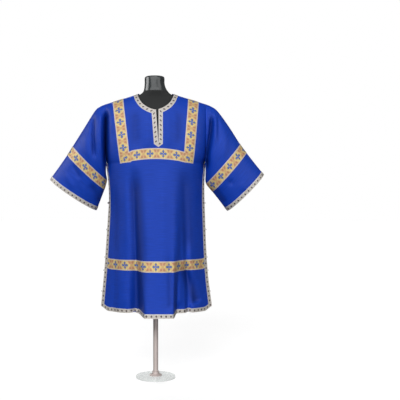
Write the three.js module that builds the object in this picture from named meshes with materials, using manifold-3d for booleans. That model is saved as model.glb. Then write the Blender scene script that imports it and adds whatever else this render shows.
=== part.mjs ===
// A sticharion, the tunic of a deacon or altar server, on a limbless dress form with a pole and a disc.
// Millimetres, +Z up, the front faces -Y, the wearer's right is -X.
// The origin is the centre of the base disc's underside.

import * as THREE from "three";
import { mergeVertices } from "three/addons/utils/BufferGeometryUtils.js";
import Module from "manifold-3d";

const wasm = await Module();
wasm.setup();

// ---- driving dimensions -------------------------------------------------------------------------

const CLOTH = 1.5; // wall of the panels and sleeves
const GALLOON = 1.0; // wall of the woven bands and trims
const APPLIQUE = 2.2; // wall of the embroidered cross
const GAP = 0.3; // between pieces that touch
const TRIM_WIDTH = 23; // narrow galloon
const BAND_WIDTH = 58; // broad galloon

const NECK_PEAK = 1560; // height that the two panels' centre lines start from, above the neck cut
const CENTRE_FALL = 1205; // from there down to the hem at the centre
const SHOULDER_X = 116; // where the shoulder line leaves the neck
const SHOULDER_Z = 1536;
const SHOULDER_SLOPE = 0.31;
const SHOULDER_FADE = 2.6; // how fast the shoulders' fall dies out in the cloth below
const HEM_CENTRE = 357; // height of the hem at the centre
const HEM_FADE = 5; // how fast the hem's rise towards the sides dies out in the cloth above
const ARMHOLE_X = 270; // plane of the armhole seams
const ARMHOLE_DEPTH = 58; // half the armhole, front to back
const UNDERARM = 0.305; // share of the fall where the armhole ends and the open side begins
const SIDE_GAP = 4; // half the opening between the front and back side edges

const FRONT = -1; // direction of Y that a panel faces
const BACK = 1;

// Body sections, by the share of the fall from shoulder to hem: half width to the wearer's right and left,
// depth in front and behind, how square the section is, and how its edges flare: below 1 they turn back
// round the body, above 1 they stand out like fins.
const LEVELS = [
  { at: 0.0, right: 270, left: 270, front: 0.2, back: 0.2, square: 4.0, flareRight: 0.74, flareLeft: 0.74 },
  { at: 0.007, right: 270, left: 270, front: 36, back: 34, square: 4.0, flareRight: 0.74, flareLeft: 0.74 },
  { at: 0.02, right: 270, left: 270, front: 58, back: 56, square: 4.0, flareRight: 0.74, flareLeft: 0.74 },
  { at: 0.045, right: 270, left: 270, front: 80, back: 79, square: 4.0, flareRight: 0.74, flareLeft: 0.74 },
  { at: 0.08, right: 270, left: 270, front: 99, back: 100, square: 4.0, flareRight: 0.74, flareLeft: 0.74 },
  { at: 0.12, right: 270, left: 270, front: 114, back: 115, square: 4.0, flareRight: 0.74, flareLeft: 0.74 },
  { at: 0.17, right: 270, left: 270, front: 125, back: 125, square: 4.0, flareRight: 0.74, flareLeft: 0.74 },
  { at: 0.22, right: 270, left: 270, front: 132, back: 129, square: 4.0, flareRight: 0.74, flareLeft: 0.74 },
  { at: 0.305, right: 268, left: 268, front: 137, back: 128, square: 3.8, flareRight: 0.74, flareLeft: 0.78 },
  { at: 0.39, right: 256, left: 263, front: 141, back: 126, square: 3.6, flareRight: 0.78, flareLeft: 1.0 },
  { at: 0.48, right: 252, left: 264, front: 145, back: 128, square: 3.6, flareRight: 0.9, flareLeft: 1.2 },
  { at: 0.57, right: 259, left: 268, front: 147, back: 134, square: 3.6, flareRight: 1.2, flareLeft: 1.3 },
  { at: 0.66, right: 267, left: 272, front: 146, back: 140, square: 3.8, flareRight: 1.4, flareLeft: 1.4 },
  { at: 0.8, right: 278, left: 281, front: 140, back: 146, square: 4.0, flareRight: 1.5, flareLeft: 1.5 },
  { at: 0.9, right: 288, left: 292, front: 136, back: 149, square: 4.0, flareRight: 1.5, flareLeft: 1.5 },
  { at: 1.0, right: 298, left: 306, front: 132, back: 152, square: 4.0, flareRight: 1.5, flareLeft: 1.5 },
];

// Folds, each from its start to the hem: its place x, the width of its level crest, the widths of its flanks
// on the wearer's right and left, how far it stands out at the hem (minus for a trough), how far it raises
// the hem, the share of the fall where it starts, and how fast it grows.
const FRONT_FOLDS = [
  {
    x0: -10, x1: 19, crest0: 200, crest1: 138, right0: 20, right1: 42, left0: 70, left1: 22,
    out: 96, lift: -14, start: 0.3, power: 1.6,
  },
  {
    x0: 150, x1: 172, crest0: 0, crest1: 0, right0: 26, right1: 22, left0: 26, left1: 26,
    out: -24, lift: 3, start: 0.36, power: 1.0,
  },
  {
    x0: -116, x1: -112, crest0: 0, crest1: 0, right0: 40, right1: 34, left0: 30, left1: 22,
    out: -12, lift: 2, start: 0.33, power: 0.8,
  },
  {
    x0: -205, x1: -226, crest0: 0, crest1: 0, right0: 26, right1: 30, left0: 26, left1: 30,
    out: -8, lift: 0, start: 0.42, power: 0.7,
  },
];
const BACK_FOLDS = [
  {
    x0: 130, x1: 166, crest0: 0, crest1: 20, right0: 80, right1: 66, left0: 80, left1: 60,
    out: 62, lift: -8, start: 0.3, power: 1.3,
  },
  {
    x0: -120, x1: -146, crest0: 0, crest1: 20, right0: 80, right1: 60, left0: 80, left1: 62,
    out: 58, lift: -7, start: 0.3, power: 1.3,
  },
  {
    x0: 0, x1: 6, crest0: 0, crest1: 0, right0: 60, right1: 60, left0: 60, left1: 60,
    out: -14, lift: 8, start: 0.4, power: 1.2,
  },
];

// Hem heights: along the panel, and how much the corners at the open sides rise.
const HEM = {
  [FRONT]: { height: 369, corner: 20, reach: 46 },
  [BACK]: { height: 384, corner: 14, reach: 60 },
};

// Rows of the panels, as shares of the fall. The named ones are edges of bands and trims.
const YOKE_TOP = 0.2639;
const YOKE_LOW = YOKE_TOP + BAND_WIDTH / CENTRE_FALL;
const HEM_BAND_TOP = 0.757;
const HEM_BAND_LOW = HEM_BAND_TOP + BAND_WIDTH / CENTRE_FALL;
const HEM_TRIM_TOP = 1 - TRIM_WIDTH / CENTRE_FALL;
const PANEL_ROWS = [
  0, 0.007, 0.02, 0.045, 0.08, 0.12, 0.17, 0.22, YOKE_TOP, UNDERARM, YOKE_LOW, 0.39, 0.48, 0.57, 0.66,
  HEM_BAND_TOP, HEM_BAND_LOW, 0.89, HEM_TRIM_TOP, 1,
];

// Columns of half a panel, in millimetres of cloth from the centre line.
const CENTRE_COLUMNS = [0, 32, 65, 97, 122];
const YOKE_INNER = { top: 175, low: 140, shift: { [FRONT]: 6, [BACK]: 0 } };
const OUTER_COLUMNS = 4; // between the yoke and the side trim

// Neck cut, in front and behind: half width at the shoulder and depth of the curve's control and end.
const NECK_HALF = 100;
const NECK_TOP = 1600;
const NECK_START = 1560;
const NECK_CURVE = {
  [FRONT]: { bendX: 95, bendZ: 1472, lowX: 8, lowZ: 1449 },
  [BACK]: { bendX: 74, bendZ: 1511, lowX: 0, lowZ: 1511 },
};
// The chest slit sits a little to the wearer's left, and its right side leans over to close it.
const SLIT = { rightTop: 1.5, rightLow: 13.6, left: 15, low: 1276, shoulder: 0.5, tip: 1.2 };

// Sleeve rings: top and low point of each (X outward, Z), half depth, how far it swings back, and how far
// its front droops down the sleeve.
const SLEEVES = {
  right: {
    sign: -1,
    rings: [
      { name: "seam", topX: 270.6, topZ: 1488.3, lowX: 270.6, lowZ: 1176, depth: 58, back: 0, droop: 0 },
      { name: "cap", topX: 303, topZ: 1474, lowX: 272, lowZ: 1152, depth: 70, back: 1, droop: 0 },
      { name: "bend", topX: 331, topZ: 1450, lowX: 273, lowZ: 1130, depth: 78, back: 4, droop: 0 },
      { name: "upper", topX: 388, topZ: 1361, lowX: 272, lowZ: 1103, depth: 84, back: 12, droop: 2 },
      { name: "band top", topX: 452, topZ: 1262, lowX: 269, lowZ: 1078, depth: 84, back: 26, droop: 4 },
      { name: "band low", topX: 483, topZ: 1215, lowX: 283, lowZ: 1026, depth: 82, back: 36, droop: 6 },
      { name: "below", topX: 526, topZ: 1155, lowX: 303, lowZ: 975, depth: 79, back: 48, droop: 8 },
      { name: "trim", topX: 568, topZ: 1099, lowX: 319, lowZ: 934, depth: 76, back: 58, droop: 11 },
      { name: "cuff", topX: 581, topZ: 1080, lowX: 328, lowZ: 912, depth: 75, back: 61, droop: 11 },
    ],
  },
  left: {
    sign: 1,
    rings: [
      { name: "seam", topX: 270.6, topZ: 1488.3, lowX: 270.6, lowZ: 1176, depth: 58, back: 0, droop: 0 },
      { name: "cap", topX: 304, topZ: 1474, lowX: 272, lowZ: 1152, depth: 70, back: 0, droop: 0 },
      { name: "bend", topX: 338, topZ: 1448, lowX: 273, lowZ: 1128, depth: 78, back: 2, droop: 0 },
      { name: "upper", topX: 398, topZ: 1366, lowX: 273, lowZ: 1098, depth: 84, back: 4, droop: 2 },
      { name: "band top", topX: 458, topZ: 1273, lowX: 276, lowZ: 1060, depth: 84, back: 8, droop: 4 },
      { name: "band low", topX: 494, topZ: 1225, lowX: 311, lowZ: 1014, depth: 82, back: 12, droop: 5 },
      { name: "below", topX: 536, topZ: 1172, lowX: 346, lowZ: 970, depth: 79, back: 16, droop: 7 },
      { name: "trim", topX: 575, topZ: 1124, lowX: 378, lowZ: 928, depth: 76, back: 19, droop: 9 },
      { name: "cuff", topX: 590, topZ: 1107, lowX: 393, lowZ: 910, depth: 75, back: 20, droop: 9 },
    ],
  },
};
const SLEEVE_SIDES = 20; // points round a sleeve
const SLEEVE_BAND = { from: 4, to: 5 }; // rings that the gold band lies between
const CUFF_TRIM = { from: 7, to: 8 };

// The applique cross: half outline of one arm, across and along, from the boss to the tip.
const CROSS_CENTRE = { x: 0, z: 1332 };
const CROSS_ARM = [
  { across: 15, along: 15 },
  { across: 7, along: 20 },
  { across: 6.5, along: 34 },
  { across: 12, along: 46 },
  { across: 21, along: 50 },
  { across: 28, along: 55 },
  { across: 28, along: 61 },
  { across: 20, along: 66 },
  { across: 14, along: 68 },
  { across: 12, along: 76 },
  { across: 6, along: 81 },
];

// Ball buttons on the back panel's sides, each set in from the edge, and the cord loops that come to them from
// the front.
const BUTTONS = [
  { height: 951, inset: 14 },
  { height: 806, inset: 14 },
  { height: 656, inset: 18 },
  { height: 584, inset: 18 },
  { height: 471, inset: 18 },
];
const BALL_RADIUS = 6.4;
const SHANK = { radius: 1.3, length: 3.2 };
const LOOP = { cord: 0.8, bend: 2.7, clear: 1.15, outside: 0.5, forward: 2.4 };

// The dress form: rings by height, half width and half depth, and how far forward each is.
const TORSO = [
  { z: 780, width: 150, depth: 88, forward: 0 },
  { z: 786, width: 158, depth: 94, forward: 0 },
  { z: 860, width: 172, depth: 104, forward: 0 },
  { z: 960, width: 164, depth: 100, forward: 2 },
  { z: 1070, width: 154, depth: 98, forward: 4 },
  { z: 1180, width: 170, depth: 108, forward: 4 },
  { z: 1290, width: 190, depth: 112, forward: 3 },
  { z: 1370, width: 200, depth: 106, forward: 0 },
  { z: 1430, width: 210, depth: 88, forward: -3 },
  { z: 1466, width: 208, depth: 70, forward: -4 },
  { z: 1490, width: 190, depth: 58, forward: -4 },
  { z: 1509, width: 158, depth: 54, forward: -3 },
  { z: 1526, width: 116, depth: 52, forward: -2 },
  { z: 1539, width: 89, depth: 53, forward: 0 },
  { z: 1550, width: 73, depth: 54, forward: 2 },
  { z: 1560, width: 66, depth: 55, forward: 3 },
];
const NECK = [
  { z: 1560.3, width: 65, depth: 55, forward: 3, side: -1 },
  { z: 1573, width: 60, depth: 54, forward: 4, side: -3 },
  { z: 1588, width: 56, depth: 54, forward: 5, side: -5 },
  { z: 1606, width: 54, depth: 54, forward: 6, side: -6 },
  { z: 1628, width: 54, depth: 54, forward: 6, side: -6 },
  { z: 1635, width: 52, depth: 52, forward: 6, side: -6 },
  { z: 1639, width: 46, depth: 46, forward: 6, side: -6 },
];
const FORM_SIDES = 24;
const TORSO_SQUARE = 2.3;
const BASE_RADIUS = 107;
const BASE_THICKNESS = 12;
const FLANGE = { radius: 34, height: 7, hubRadius: 19, hubHeight: 24 };
const POLE_RADIUS = 13.5;

// ---- helpers ------------------------------------------------------------------------------------

// A smooth value from a table's column at a place, by a cubic through its rows.
function lookup(table, column, at) {
  const last = table.length - 1;
  if (at <= table[0].at) return table[0][column];
  if (at >= table[last].at) return table[last][column];
  const i = table.findIndex((row) => row.at > at) - 1;
  const slope = (a, b) => (table[b][column] - table[a][column]) / (table[b].at - table[a].at);
  const here = slope(i, i + 1);
  const before = i > 0 ? (slope(i - 1, i) + here) / 2 : here;
  const after = i + 2 <= last ? (here + slope(i + 1, i + 2)) / 2 : here;
  const step = table[i + 1].at - table[i].at;
  const s = (at - table[i].at) / step;
  const rise = table[i + 1][column] - table[i][column];
  return (
    table[i][column] +
    s * s * (3 - 2 * s) * rise +
    s * (1 - s) * (1 - s) * step * before -
    s * s * (1 - s) * step * after
  );
}

const mix = (a, b, s) => a + (b - a) * s;
const smooth = (s) => {
  const c = Math.min(1, Math.max(0, s));
  return c * c * (3 - 2 * c);
};

// How far along a fold a place is, from 0 at its start to 1 at the hem.
const foldAge = (fold, at) => Math.max(0, (at - fold.start) / (1 - fold.start));

// The fold's shape across the panel: 1 on its crest and 0 outside its flanks.
function foldShape(fold, x, at) {
  const age = foldAge(fold, at);
  const off = x - mix(fold.x0, fold.x1, age);
  const flank = off < 0 ? mix(fold.right0, fold.right1, age) : mix(fold.left0, fold.left1, age);
  return 1 - smooth((Math.abs(off) - mix(fold.crest0, fold.crest1, age) / 2) / flank);
}

const foldsOf = (facing) => (facing === FRONT ? FRONT_FOLDS : BACK_FOLDS);

function foldDepth(facing, x, at) {
  let depth = 0;
  for (const fold of foldsOf(facing)) {
    depth += fold.out * Math.pow(foldAge(fold, at), fold.power) * foldShape(fold, x, at);
  }
  return depth;
}

// ---- the body panels ----------------------------------------------------------------------------

// Height of the shoulder line. Inside the neck it runs on up to the peak, and the neck cut takes that away.
function shoulderHeight(x) {
  const out = Math.abs(x);
  if (out > SHOULDER_X) return SHOULDER_Z - (out - SHOULDER_X) * SHOULDER_SLOPE;
  return mix(NECK_PEAK, SHOULDER_Z, (out / SHOULDER_X) ** 2);
}

function hemHeight(facing, x) {
  const hem = HEM[facing];
  const edge = lookup(LEVELS, x < 0 ? "right" : "left", 1);
  let height = hem.height + hem.corner * smooth(1 - (edge - Math.abs(x)) / hem.reach);
  for (const fold of foldsOf(facing)) height += fold.lift * foldShape(fold, x, 1);
  return height;
}

// Height of a panel's point, from where it starts on the shoulder and where it ends on the hem. The fall of
// the shoulders and the rise of the hem both die out in between, so that the bands lie nearly level.
function clothHeight(shoulder, hem, at) {
  const level = mix(NECK_PEAK, HEM_CENTRE, at);
  return level - (NECK_PEAK - shoulder) * (1 - at) ** SHOULDER_FADE + (hem - HEM_CENTRE) * at ** HEM_FADE;
}

// Half the armhole's opening at a share of the fall: an ellipse from the shoulder to the underarm.
function armholeDepth(at) {
  const s = at / UNDERARM;
  const ellipse = s < 1 ? ARMHOLE_DEPTH * Math.sqrt(1 - (2 * s - 1) ** 2) : 0;
  const open = smooth((at - 0.2) / (UNDERARM - 0.2)) * SIDE_GAP;
  return Math.max(GAP / 2, ellipse, open);
}

// Half a section of a panel, as points from the centre line to the side edge, with the cloth's length so far.
function halfSection(facing, half, at) {
  const steps = 240;
  const width = lookup(LEVELS, half < 0 ? "right" : "left", at);
  const flare = lookup(LEVELS, half < 0 ? "flareRight" : "flareLeft", at);
  const depth = lookup(LEVELS, facing === FRONT ? "front" : "back", at);
  const square = lookup(LEVELS, "square", at);
  const edge = armholeDepth(at);
  const points = [];
  for (let i = 0; i <= steps; i++) {
    const share = Math.sin((i / steps) * (Math.PI / 2));
    const x = half * width * share;
    const round = Math.pow(1 - Math.pow(share, square), flare);
    const fold = foldDepth(facing, x, at) * (1 - Math.pow(share, 10));
    const y = edge + (Math.max(depth, edge) - edge) * round + fold;
    const before = points[i - 1];
    const cloth = before ? before.cloth + Math.hypot(x - before.x, y - before.y) : 0;
    points.push({ x, y, cloth });
  }
  return points;
}

function alongSection(points, cloth) {
  const i = Math.max(1, points.findIndex((p) => p.cloth >= cloth - 1e-9));
  const a = points[i - 1];
  const b = points[i];
  const s = (cloth - a.cloth) / (b.cloth - a.cloth);
  return { x: mix(a.x, b.x, s), y: mix(a.y, b.y, s) };
}

// The cloth distances of half a panel's columns at one row.
function halfColumns(facing, half, at, edge) {
  const lean = Math.min(1, at / YOKE_LOW);
  const inner = mix(YOKE_INNER.top, YOKE_INNER.low + half * YOKE_INNER.shift[facing], lean);
  const columns = [...CENTRE_COLUMNS, inner, inner + BAND_WIDTH / 2, inner + BAND_WIDTH];
  const start = inner + BAND_WIDTH;
  const end = edge - TRIM_WIDTH;
  for (let i = 1; i <= OUTER_COLUMNS; i++) columns.push(mix(start, end, i / (OUTER_COLUMNS + 1)));
  return [...columns, end, edge];
}

const HALF_COUNT = CENTRE_COLUMNS.length + 3 + OUTER_COLUMNS + 2;
const YOKE_COLUMN = CENTRE_COLUMNS.length; // first column of the yoke, in half a panel

// A panel's grid: rows from the shoulder to the hem, columns from the right side edge to the left.
function panelGrid(facing) {
  const rowOf = (at) => {
    const row = [];
    for (const half of [-1, 1]) {
      const section = halfSection(facing, half, at);
      const edge = section.at(-1).cloth;
      const columns = halfColumns(facing, half, at, edge);
      const places = columns.map((cloth) => alongSection(section, Math.min(cloth, edge)));
      row.push(...(half < 0 ? places.reverse() : places.slice(1)));
    }
    return row;
  };
  const shoulder = rowOf(0);
  const hem = rowOf(1);
  const rows = PANEL_ROWS.map((at) =>
    rowOf(at).map((place, j) => {
      const z = clothHeight(shoulderHeight(shoulder[j].x), hemHeight(facing, hem[j].x), at);
      return new THREE.Vector3(place.x, facing * place.y, z);
    }),
  );
  const grid = withNormals(rows, false, (centre) => new THREE.Vector3(0, facing, 0).dot(centre));
  // At the armhole the wall ends square, in the seam's plane.
  grid.forEach((row, i) => {
    if (PANEL_ROWS[i] >= UNDERARM) return;
    for (const node of [row[0], row.at(-1)]) node.normal.setX(0).normalize();
  });
  return grid;
}

// ---- walls from grids ---------------------------------------------------------------------------

// Gives each grid point its normal, turned so that the sign function is positive in the grid's middle.
function withNormals(rows, wrap, sign) {
  const last = rows.length - 1;
  const count = rows[0].length;
  const column = (j) => (wrap ? (j + count) % count : Math.min(count - 1, Math.max(0, j)));
  const grid = rows.map((row, i) =>
    row.map((point, j) => {
      const across = row[column(j + 1)].clone().sub(row[column(j - 1)]);
      const down = rows[Math.min(last, i + 1)][j].clone().sub(rows[Math.max(0, i - 1)][j]);
      return { point, normal: across.cross(down).normalize() };
    }),
  );
  const middle = grid[Math.floor(last / 2)][Math.floor(count / 2)];
  if (sign(middle.normal) < 0) grid.forEach((row) => row.forEach((node) => node.normal.negate()));
  return grid;
}

// Moves a point of a piece's border inward over the cloth, along the grid's own lines.
function insetPoint(grid, has, i, j, inset, column) {
  const cell = (di, dj) => has(i + di, column(j + dj));
  const cells = { upLeft: cell(-1, -1), upRight: cell(-1, 0), lowLeft: cell(0, -1), lowRight: cell(0, 0) };
  const present = Object.values(cells).filter(Boolean).length;
  const moved = grid[i][j].point.clone();
  if (present === 4 || present === 0) return moved;
  const weight = (names) => names.filter((name) => cells[name]).length;
  const down = Math.sign(weight(["lowLeft", "lowRight"]) - weight(["upLeft", "upRight"]));
  const right = Math.sign(weight(["upRight", "lowRight"]) - weight(["upLeft", "lowLeft"]));
  for (const [di, dj] of [[down, 0], [0, right]]) {
    if (di === 0 && dj === 0) continue;
    const toward = grid[i + di][column(j + dj)].point.clone().sub(grid[i][j].point);
    moved.addScaledVector(toward.normalize(), inset);
  }
  return moved;
}

// A closed wall over the grid's cells that has() names: lifted off the grid by lift, and thick.
function wall(grid, has, { lift = 0, thick, inset = 0, wrap = false }) {
  const count = grid[0].length;
  const cells = wrap ? count : count - 1;
  const column = (j) => (wrap ? (j + count) % count : j);
  const inGrid = (i, j) => i >= 0 && i < grid.length - 1 && j >= 0 && j < cells && has(i, j);
  const first = grid[0][0];
  const across = grid[0][1].point.clone().sub(first.point);
  const ahead = across.cross(grid[1][0].point.clone().sub(first.point));
  const turned = ahead.dot(first.normal) < 0;
  const positions = [];
  const indices = [];
  const known = new Map();
  const vertex = (i, j, outer) => {
    const key = (i * count + column(j)) * 2 + outer;
    if (!known.has(key)) {
      const { normal } = grid[i][column(j)];
      const base = insetPoint(grid, inGrid, i, column(j), inset, column);
      const at = base.addScaledVector(normal, lift + outer * thick);
      known.set(key, positions.length / 3);
      positions.push(at.x, at.y, at.z);
    }
    return known.get(key);
  };
  const quad = (a, b, c, d) => {
    if (turned) indices.push(a, c, b, a, d, c);
    else indices.push(a, b, c, a, c, d);
  };
  for (let i = 0; i < grid.length - 1; i++) {
    for (let j = 0; j < cells; j++) {
      if (!inGrid(i, j)) continue;
      const corners = [[i, j], [i, j + 1], [i + 1, j + 1], [i + 1, j]];
      const outer = corners.map(([r, c]) => vertex(r, c, 1));
      const inner = corners.map(([r, c]) => vertex(r, c, 0));
      quad(...outer);
      quad(inner[0], inner[3], inner[2], inner[1]);
      const beside = [[i - 1, j], [i, column(j + 1)], [i + 1, j], [i, column(j - 1)]];
      beside.forEach(([r, c], k) => {
        if (inGrid(r, c)) return;
        const next = (k + 1) % 4;
        quad(outer[next], outer[k], inner[k], inner[next]);
      });
    }
  }
  const geometry = new THREE.BufferGeometry();
  geometry.setAttribute("position", new THREE.Float32BufferAttribute(positions, 3));
  geometry.setIndex(indices);
  return geometry;
}

// ---- cutting and joining ------------------------------------------------------------------------

function toSolid(geometry) {
  const bare = geometry.clone();
  for (const name of Object.keys(bare.attributes)) if (name !== "position") bare.deleteAttribute(name);
  const merged = mergeVertices(bare, 1e-4);
  return new wasm.Manifold(
    new wasm.Mesh({
      numProp: 3,
      vertProperties: new Float32Array(merged.attributes.position.array),
      triVerts: new Uint32Array(merged.index.array),
    }),
  );
}

function toGeometry(solid) {
  const mesh = solid.getMesh();
  const geometry = new THREE.BufferGeometry();
  geometry.setAttribute("position", new THREE.BufferAttribute(new Float32Array(mesh.vertProperties), 3));
  geometry.setIndex(new THREE.BufferAttribute(new Uint32Array(mesh.triVerts), 1));
  return geometry;
}

// A prism along Y through everything on one side of the body, from an outline in X and Z.
function prism(outline, facing) {
  const reach = 400;
  const geometry = new THREE.ExtrudeGeometry(new THREE.Shape(outline), { depth: reach, bevelEnabled: false });
  geometry.rotateX(Math.PI / 2); // the outline's second axis becomes Z, and it runs towards -Y
  if (facing === BACK) geometry.translate(0, reach, 0);
  return toSolid(geometry);
}

// Half of the neck's outline, from the shoulder down to the centre, moved out by an offset.
function neckHalf(facing, offset) {
  const { bendX, bendZ, lowX, lowZ } = NECK_CURVE[facing];
  const curve = new THREE.QuadraticBezierCurve(
    new THREE.Vector2(NECK_HALF, NECK_START),
    new THREE.Vector2(bendX, bendZ),
    new THREE.Vector2(lowX, lowZ),
  );
  const points = [];
  const steps = 7;
  for (let i = 0; i <= steps; i++) {
    const at = curve.getPoint(i / steps);
    const along = curve.getTangent(i / steps);
    points.push(new THREE.Vector2(at.x - along.y * offset, at.y + along.x * offset));
  }
  points.unshift(new THREE.Vector2(points[0].x, NECK_TOP));
  return points;
}

// The slit's outline from its left side down to the tip and up its right side, moved out by an offset.
function slitOutline(offset, top) {
  const low = SLIT.low - offset * SLIT.shoulder;
  return [
    new THREE.Vector2(SLIT.left + offset, top.left),
    new THREE.Vector2(SLIT.left + offset, low),
    new THREE.Vector2((SLIT.left + SLIT.rightLow) / 2, SLIT.low - offset * SLIT.tip - 0.5),
    new THREE.Vector2(SLIT.rightLow - offset, low),
    new THREE.Vector2(SLIT.rightTop - offset, top.right),
  ];
}

// The whole neck outline, in front with the chest slit.
function neckOutline(facing, offset) {
  const left = neckHalf(facing, offset);
  const right = left.map((p) => new THREE.Vector2(-p.x, p.y)).reverse();
  if (facing === BACK) return [...left, ...right.slice(1)];
  const leftKept = left.filter((p) => p.x > SLIT.left + offset + 1);
  const rightKept = right.filter((p) => p.x < SLIT.rightTop - offset - 1);
  const top = { left: leftKept.at(-1).y - 1, right: rightKept[0].y - 1 };
  return [...leftKept, ...slitOutline(offset, top), ...rightKept];
}

// ---- pieces -------------------------------------------------------------------------------------

const satin = new THREE.MeshStandardMaterial({ color: 0x2443a8, roughness: 0.5, metalness: 0 });
const gold = new THREE.MeshStandardMaterial({ color: 0xd8b25c, roughness: 0.4, metalness: 0.3 });
const silver = new THREE.MeshStandardMaterial({ color: 0xc6bcb4, roughness: 0.45, metalness: 0.3 });
const brass = new THREE.MeshStandardMaterial({ color: 0xb59a5e, roughness: 0.3, metalness: 0.9 });
const cord = new THREE.MeshStandardMaterial({ color: 0x4a4448, roughness: 0.8, metalness: 0 });
const jersey = new THREE.MeshStandardMaterial({ color: 0x2b2b2d, roughness: 0.9, metalness: 0 });
const lacquer = new THREE.MeshStandardMaterial({ color: 0x35393a, roughness: 0.15, metalness: 0 });
const chrome = new THREE.MeshStandardMaterial({ color: 0xcfc8c6, roughness: 0.2, metalness: 1 });
const glass = new THREE.MeshStandardMaterial({ color: 0xdfe8e6, roughness: 0.05, metalness: 0 });

const garment = new THREE.Group();

function add(name, geometry, material) {
  const mesh = new THREE.Mesh(geometry, material);
  mesh.name = name;
  garment.add(mesh);
  return mesh;
}

const everywhere = () => true;
const rowIndex = (at) => PANEL_ROWS.indexOf(at);
const galloonOn = { lift: CLOTH + GAP, thick: GALLOON, inset: GAP };

function addPanel(facing, word) {
  const grid = panelGrid(facing);
  const lastCell = grid[0].length - 2;
  const fromSide = (j) => Math.min(j, lastCell - j); // cells in from the nearer side edge
  const yokeCells = HALF_COUNT - 1 - YOKE_COLUMN - 2; // cells between the side edge and the yoke's strips

  const cut = toSolid(wall(grid, everywhere, { thick: CLOTH })).subtract(prism(neckOutline(facing, 0), facing));
  add(`${word}_panel`, toGeometry(cut), satin);

  const yoke = (i, j) => {
    if (i >= rowIndex(YOKE_LOW) || fromSide(j) < yokeCells) return false;
    return fromSide(j) < yokeCells + 2 || i >= rowIndex(YOKE_TOP);
  };
  add(`yoke_${word}`, wall(grid, yoke, galloonOn), gold);

  const hemBand = (i, j) => i >= rowIndex(HEM_BAND_TOP) && i < rowIndex(HEM_BAND_LOW) && fromSide(j) >= 1;
  add(`hem_band_${word}`, wall(grid, hemBand, galloonOn), gold);

  const edgeTrim = (i, j) => (i >= rowIndex(UNDERARM) && fromSide(j) < 1) || i >= rowIndex(HEM_TRIM_TOP);
  add(`edge_trim_${word}`, wall(grid, edgeTrim, galloonOn), silver);

  const nearNeck = (i, j) => i < rowIndex(YOKE_TOP) && fromSide(j) >= yokeCells + 2;
  const strip = toSolid(wall(grid, nearNeck, { lift: CLOTH + GAP, thick: GALLOON }));
  const ring = prism(neckOutline(facing, TRIM_WIDTH), facing).subtract(prism(neckOutline(facing, GAP), facing));
  add(`neck_trim_${word}`, toGeometry(strip.intersect(ring)), silver);
  return grid;
}

const frontGrid = addPanel(FRONT, "front");
const backGrid = addPanel(BACK, "back");

function addCross() {
  const side = CROSS_ARM.map(({ across, along }) => new THREE.Vector2(across, along));
  const tip = side.slice(1).reverse().map((p) => new THREE.Vector2(-p.x, p.y));
  const outline = [];
  for (let arm = 0; arm < 4; arm++) {
    for (const p of [...side, ...tip]) {
      outline.push(p.clone().rotateAround(new THREE.Vector2(), (arm * Math.PI) / 2));
    }
  }
  const placed = outline.map((p) => new THREE.Vector2(p.x + CROSS_CENTRE.x, p.y + CROSS_CENTRE.z));
  const nearby = (i, j) => i < rowIndex(YOKE_TOP) && backGrid[i + 1][j].point.z < CROSS_CENTRE.z + 130
    && Math.abs(j + 0.5 - (backGrid[0].length - 1) / 2) < YOKE_COLUMN;
  const strip = toSolid(wall(backGrid, nearby, { lift: CLOTH + GAP, thick: APPLIQUE }));
  add("back_cross", toGeometry(strip.intersect(prism(placed, BACK))), gold);
}
addCross();

function sleeveGrid({ sign, rings }) {
  const rows = rings.map((ring) => {
    const row = [];
    const fall = new THREE.Vector2(ring.lowX - ring.topX, ring.lowZ - ring.topZ).normalize();
    for (let k = 0; k < SLEEVE_SIDES; k++) {
      const turn = (k / SLEEVE_SIDES) * Math.PI * 2;
      const up = (1 + Math.cos(turn)) / 2;
      const droop = ring.droop * Math.sin(turn);
      const x = sign * (mix(ring.lowX, ring.topX, up) - fall.y * droop);
      const y = ring.back - ring.depth * Math.sin(turn);
      row.push(new THREE.Vector3(x, y, mix(ring.lowZ, ring.topZ, up) + fall.x * droop));
    }
    return row;
  });
  // The middle column is the sleeve's low line, whose outside faces down.
  const grid = withNormals(rows, true, (normal) => -normal.z);
  grid[0].forEach((node) => node.normal.setX(0).normalize());
  return grid;
}

for (const [word, sleeve] of Object.entries(SLEEVES)) {
  const grid = sleeveGrid(sleeve);
  add(`sleeve_${word}`, wall(grid, everywhere, { thick: CLOTH, wrap: true }), satin);
  const between = ({ from, to }) => (i) => i >= from && i < to;
  add(`sleeve_band_${word}`, wall(grid, between(SLEEVE_BAND), { ...galloonOn, wrap: true }), gold);
  add(`cuff_trim_${word}`, wall(grid, between(CUFF_TRIM), { ...galloonOn, wrap: true }), silver);
}

// The place on a panel's side edge at a height, with its normal.
function edgeAt(grid, sign, height) {
  const side = grid.map((row) => (sign < 0 ? row[0] : row.at(-1)));
  const i = side.findIndex((node) => node.point.z < height);
  const s = (side[i - 1].point.z - height) / (side[i - 1].point.z - side[i].point.z);
  const point = side[i - 1].point.clone().lerp(side[i].point, s);
  const normal = side[i - 1].normal.clone().lerp(side[i].normal, s).setZ(0).normalize();
  return { point, normal };
}

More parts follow.
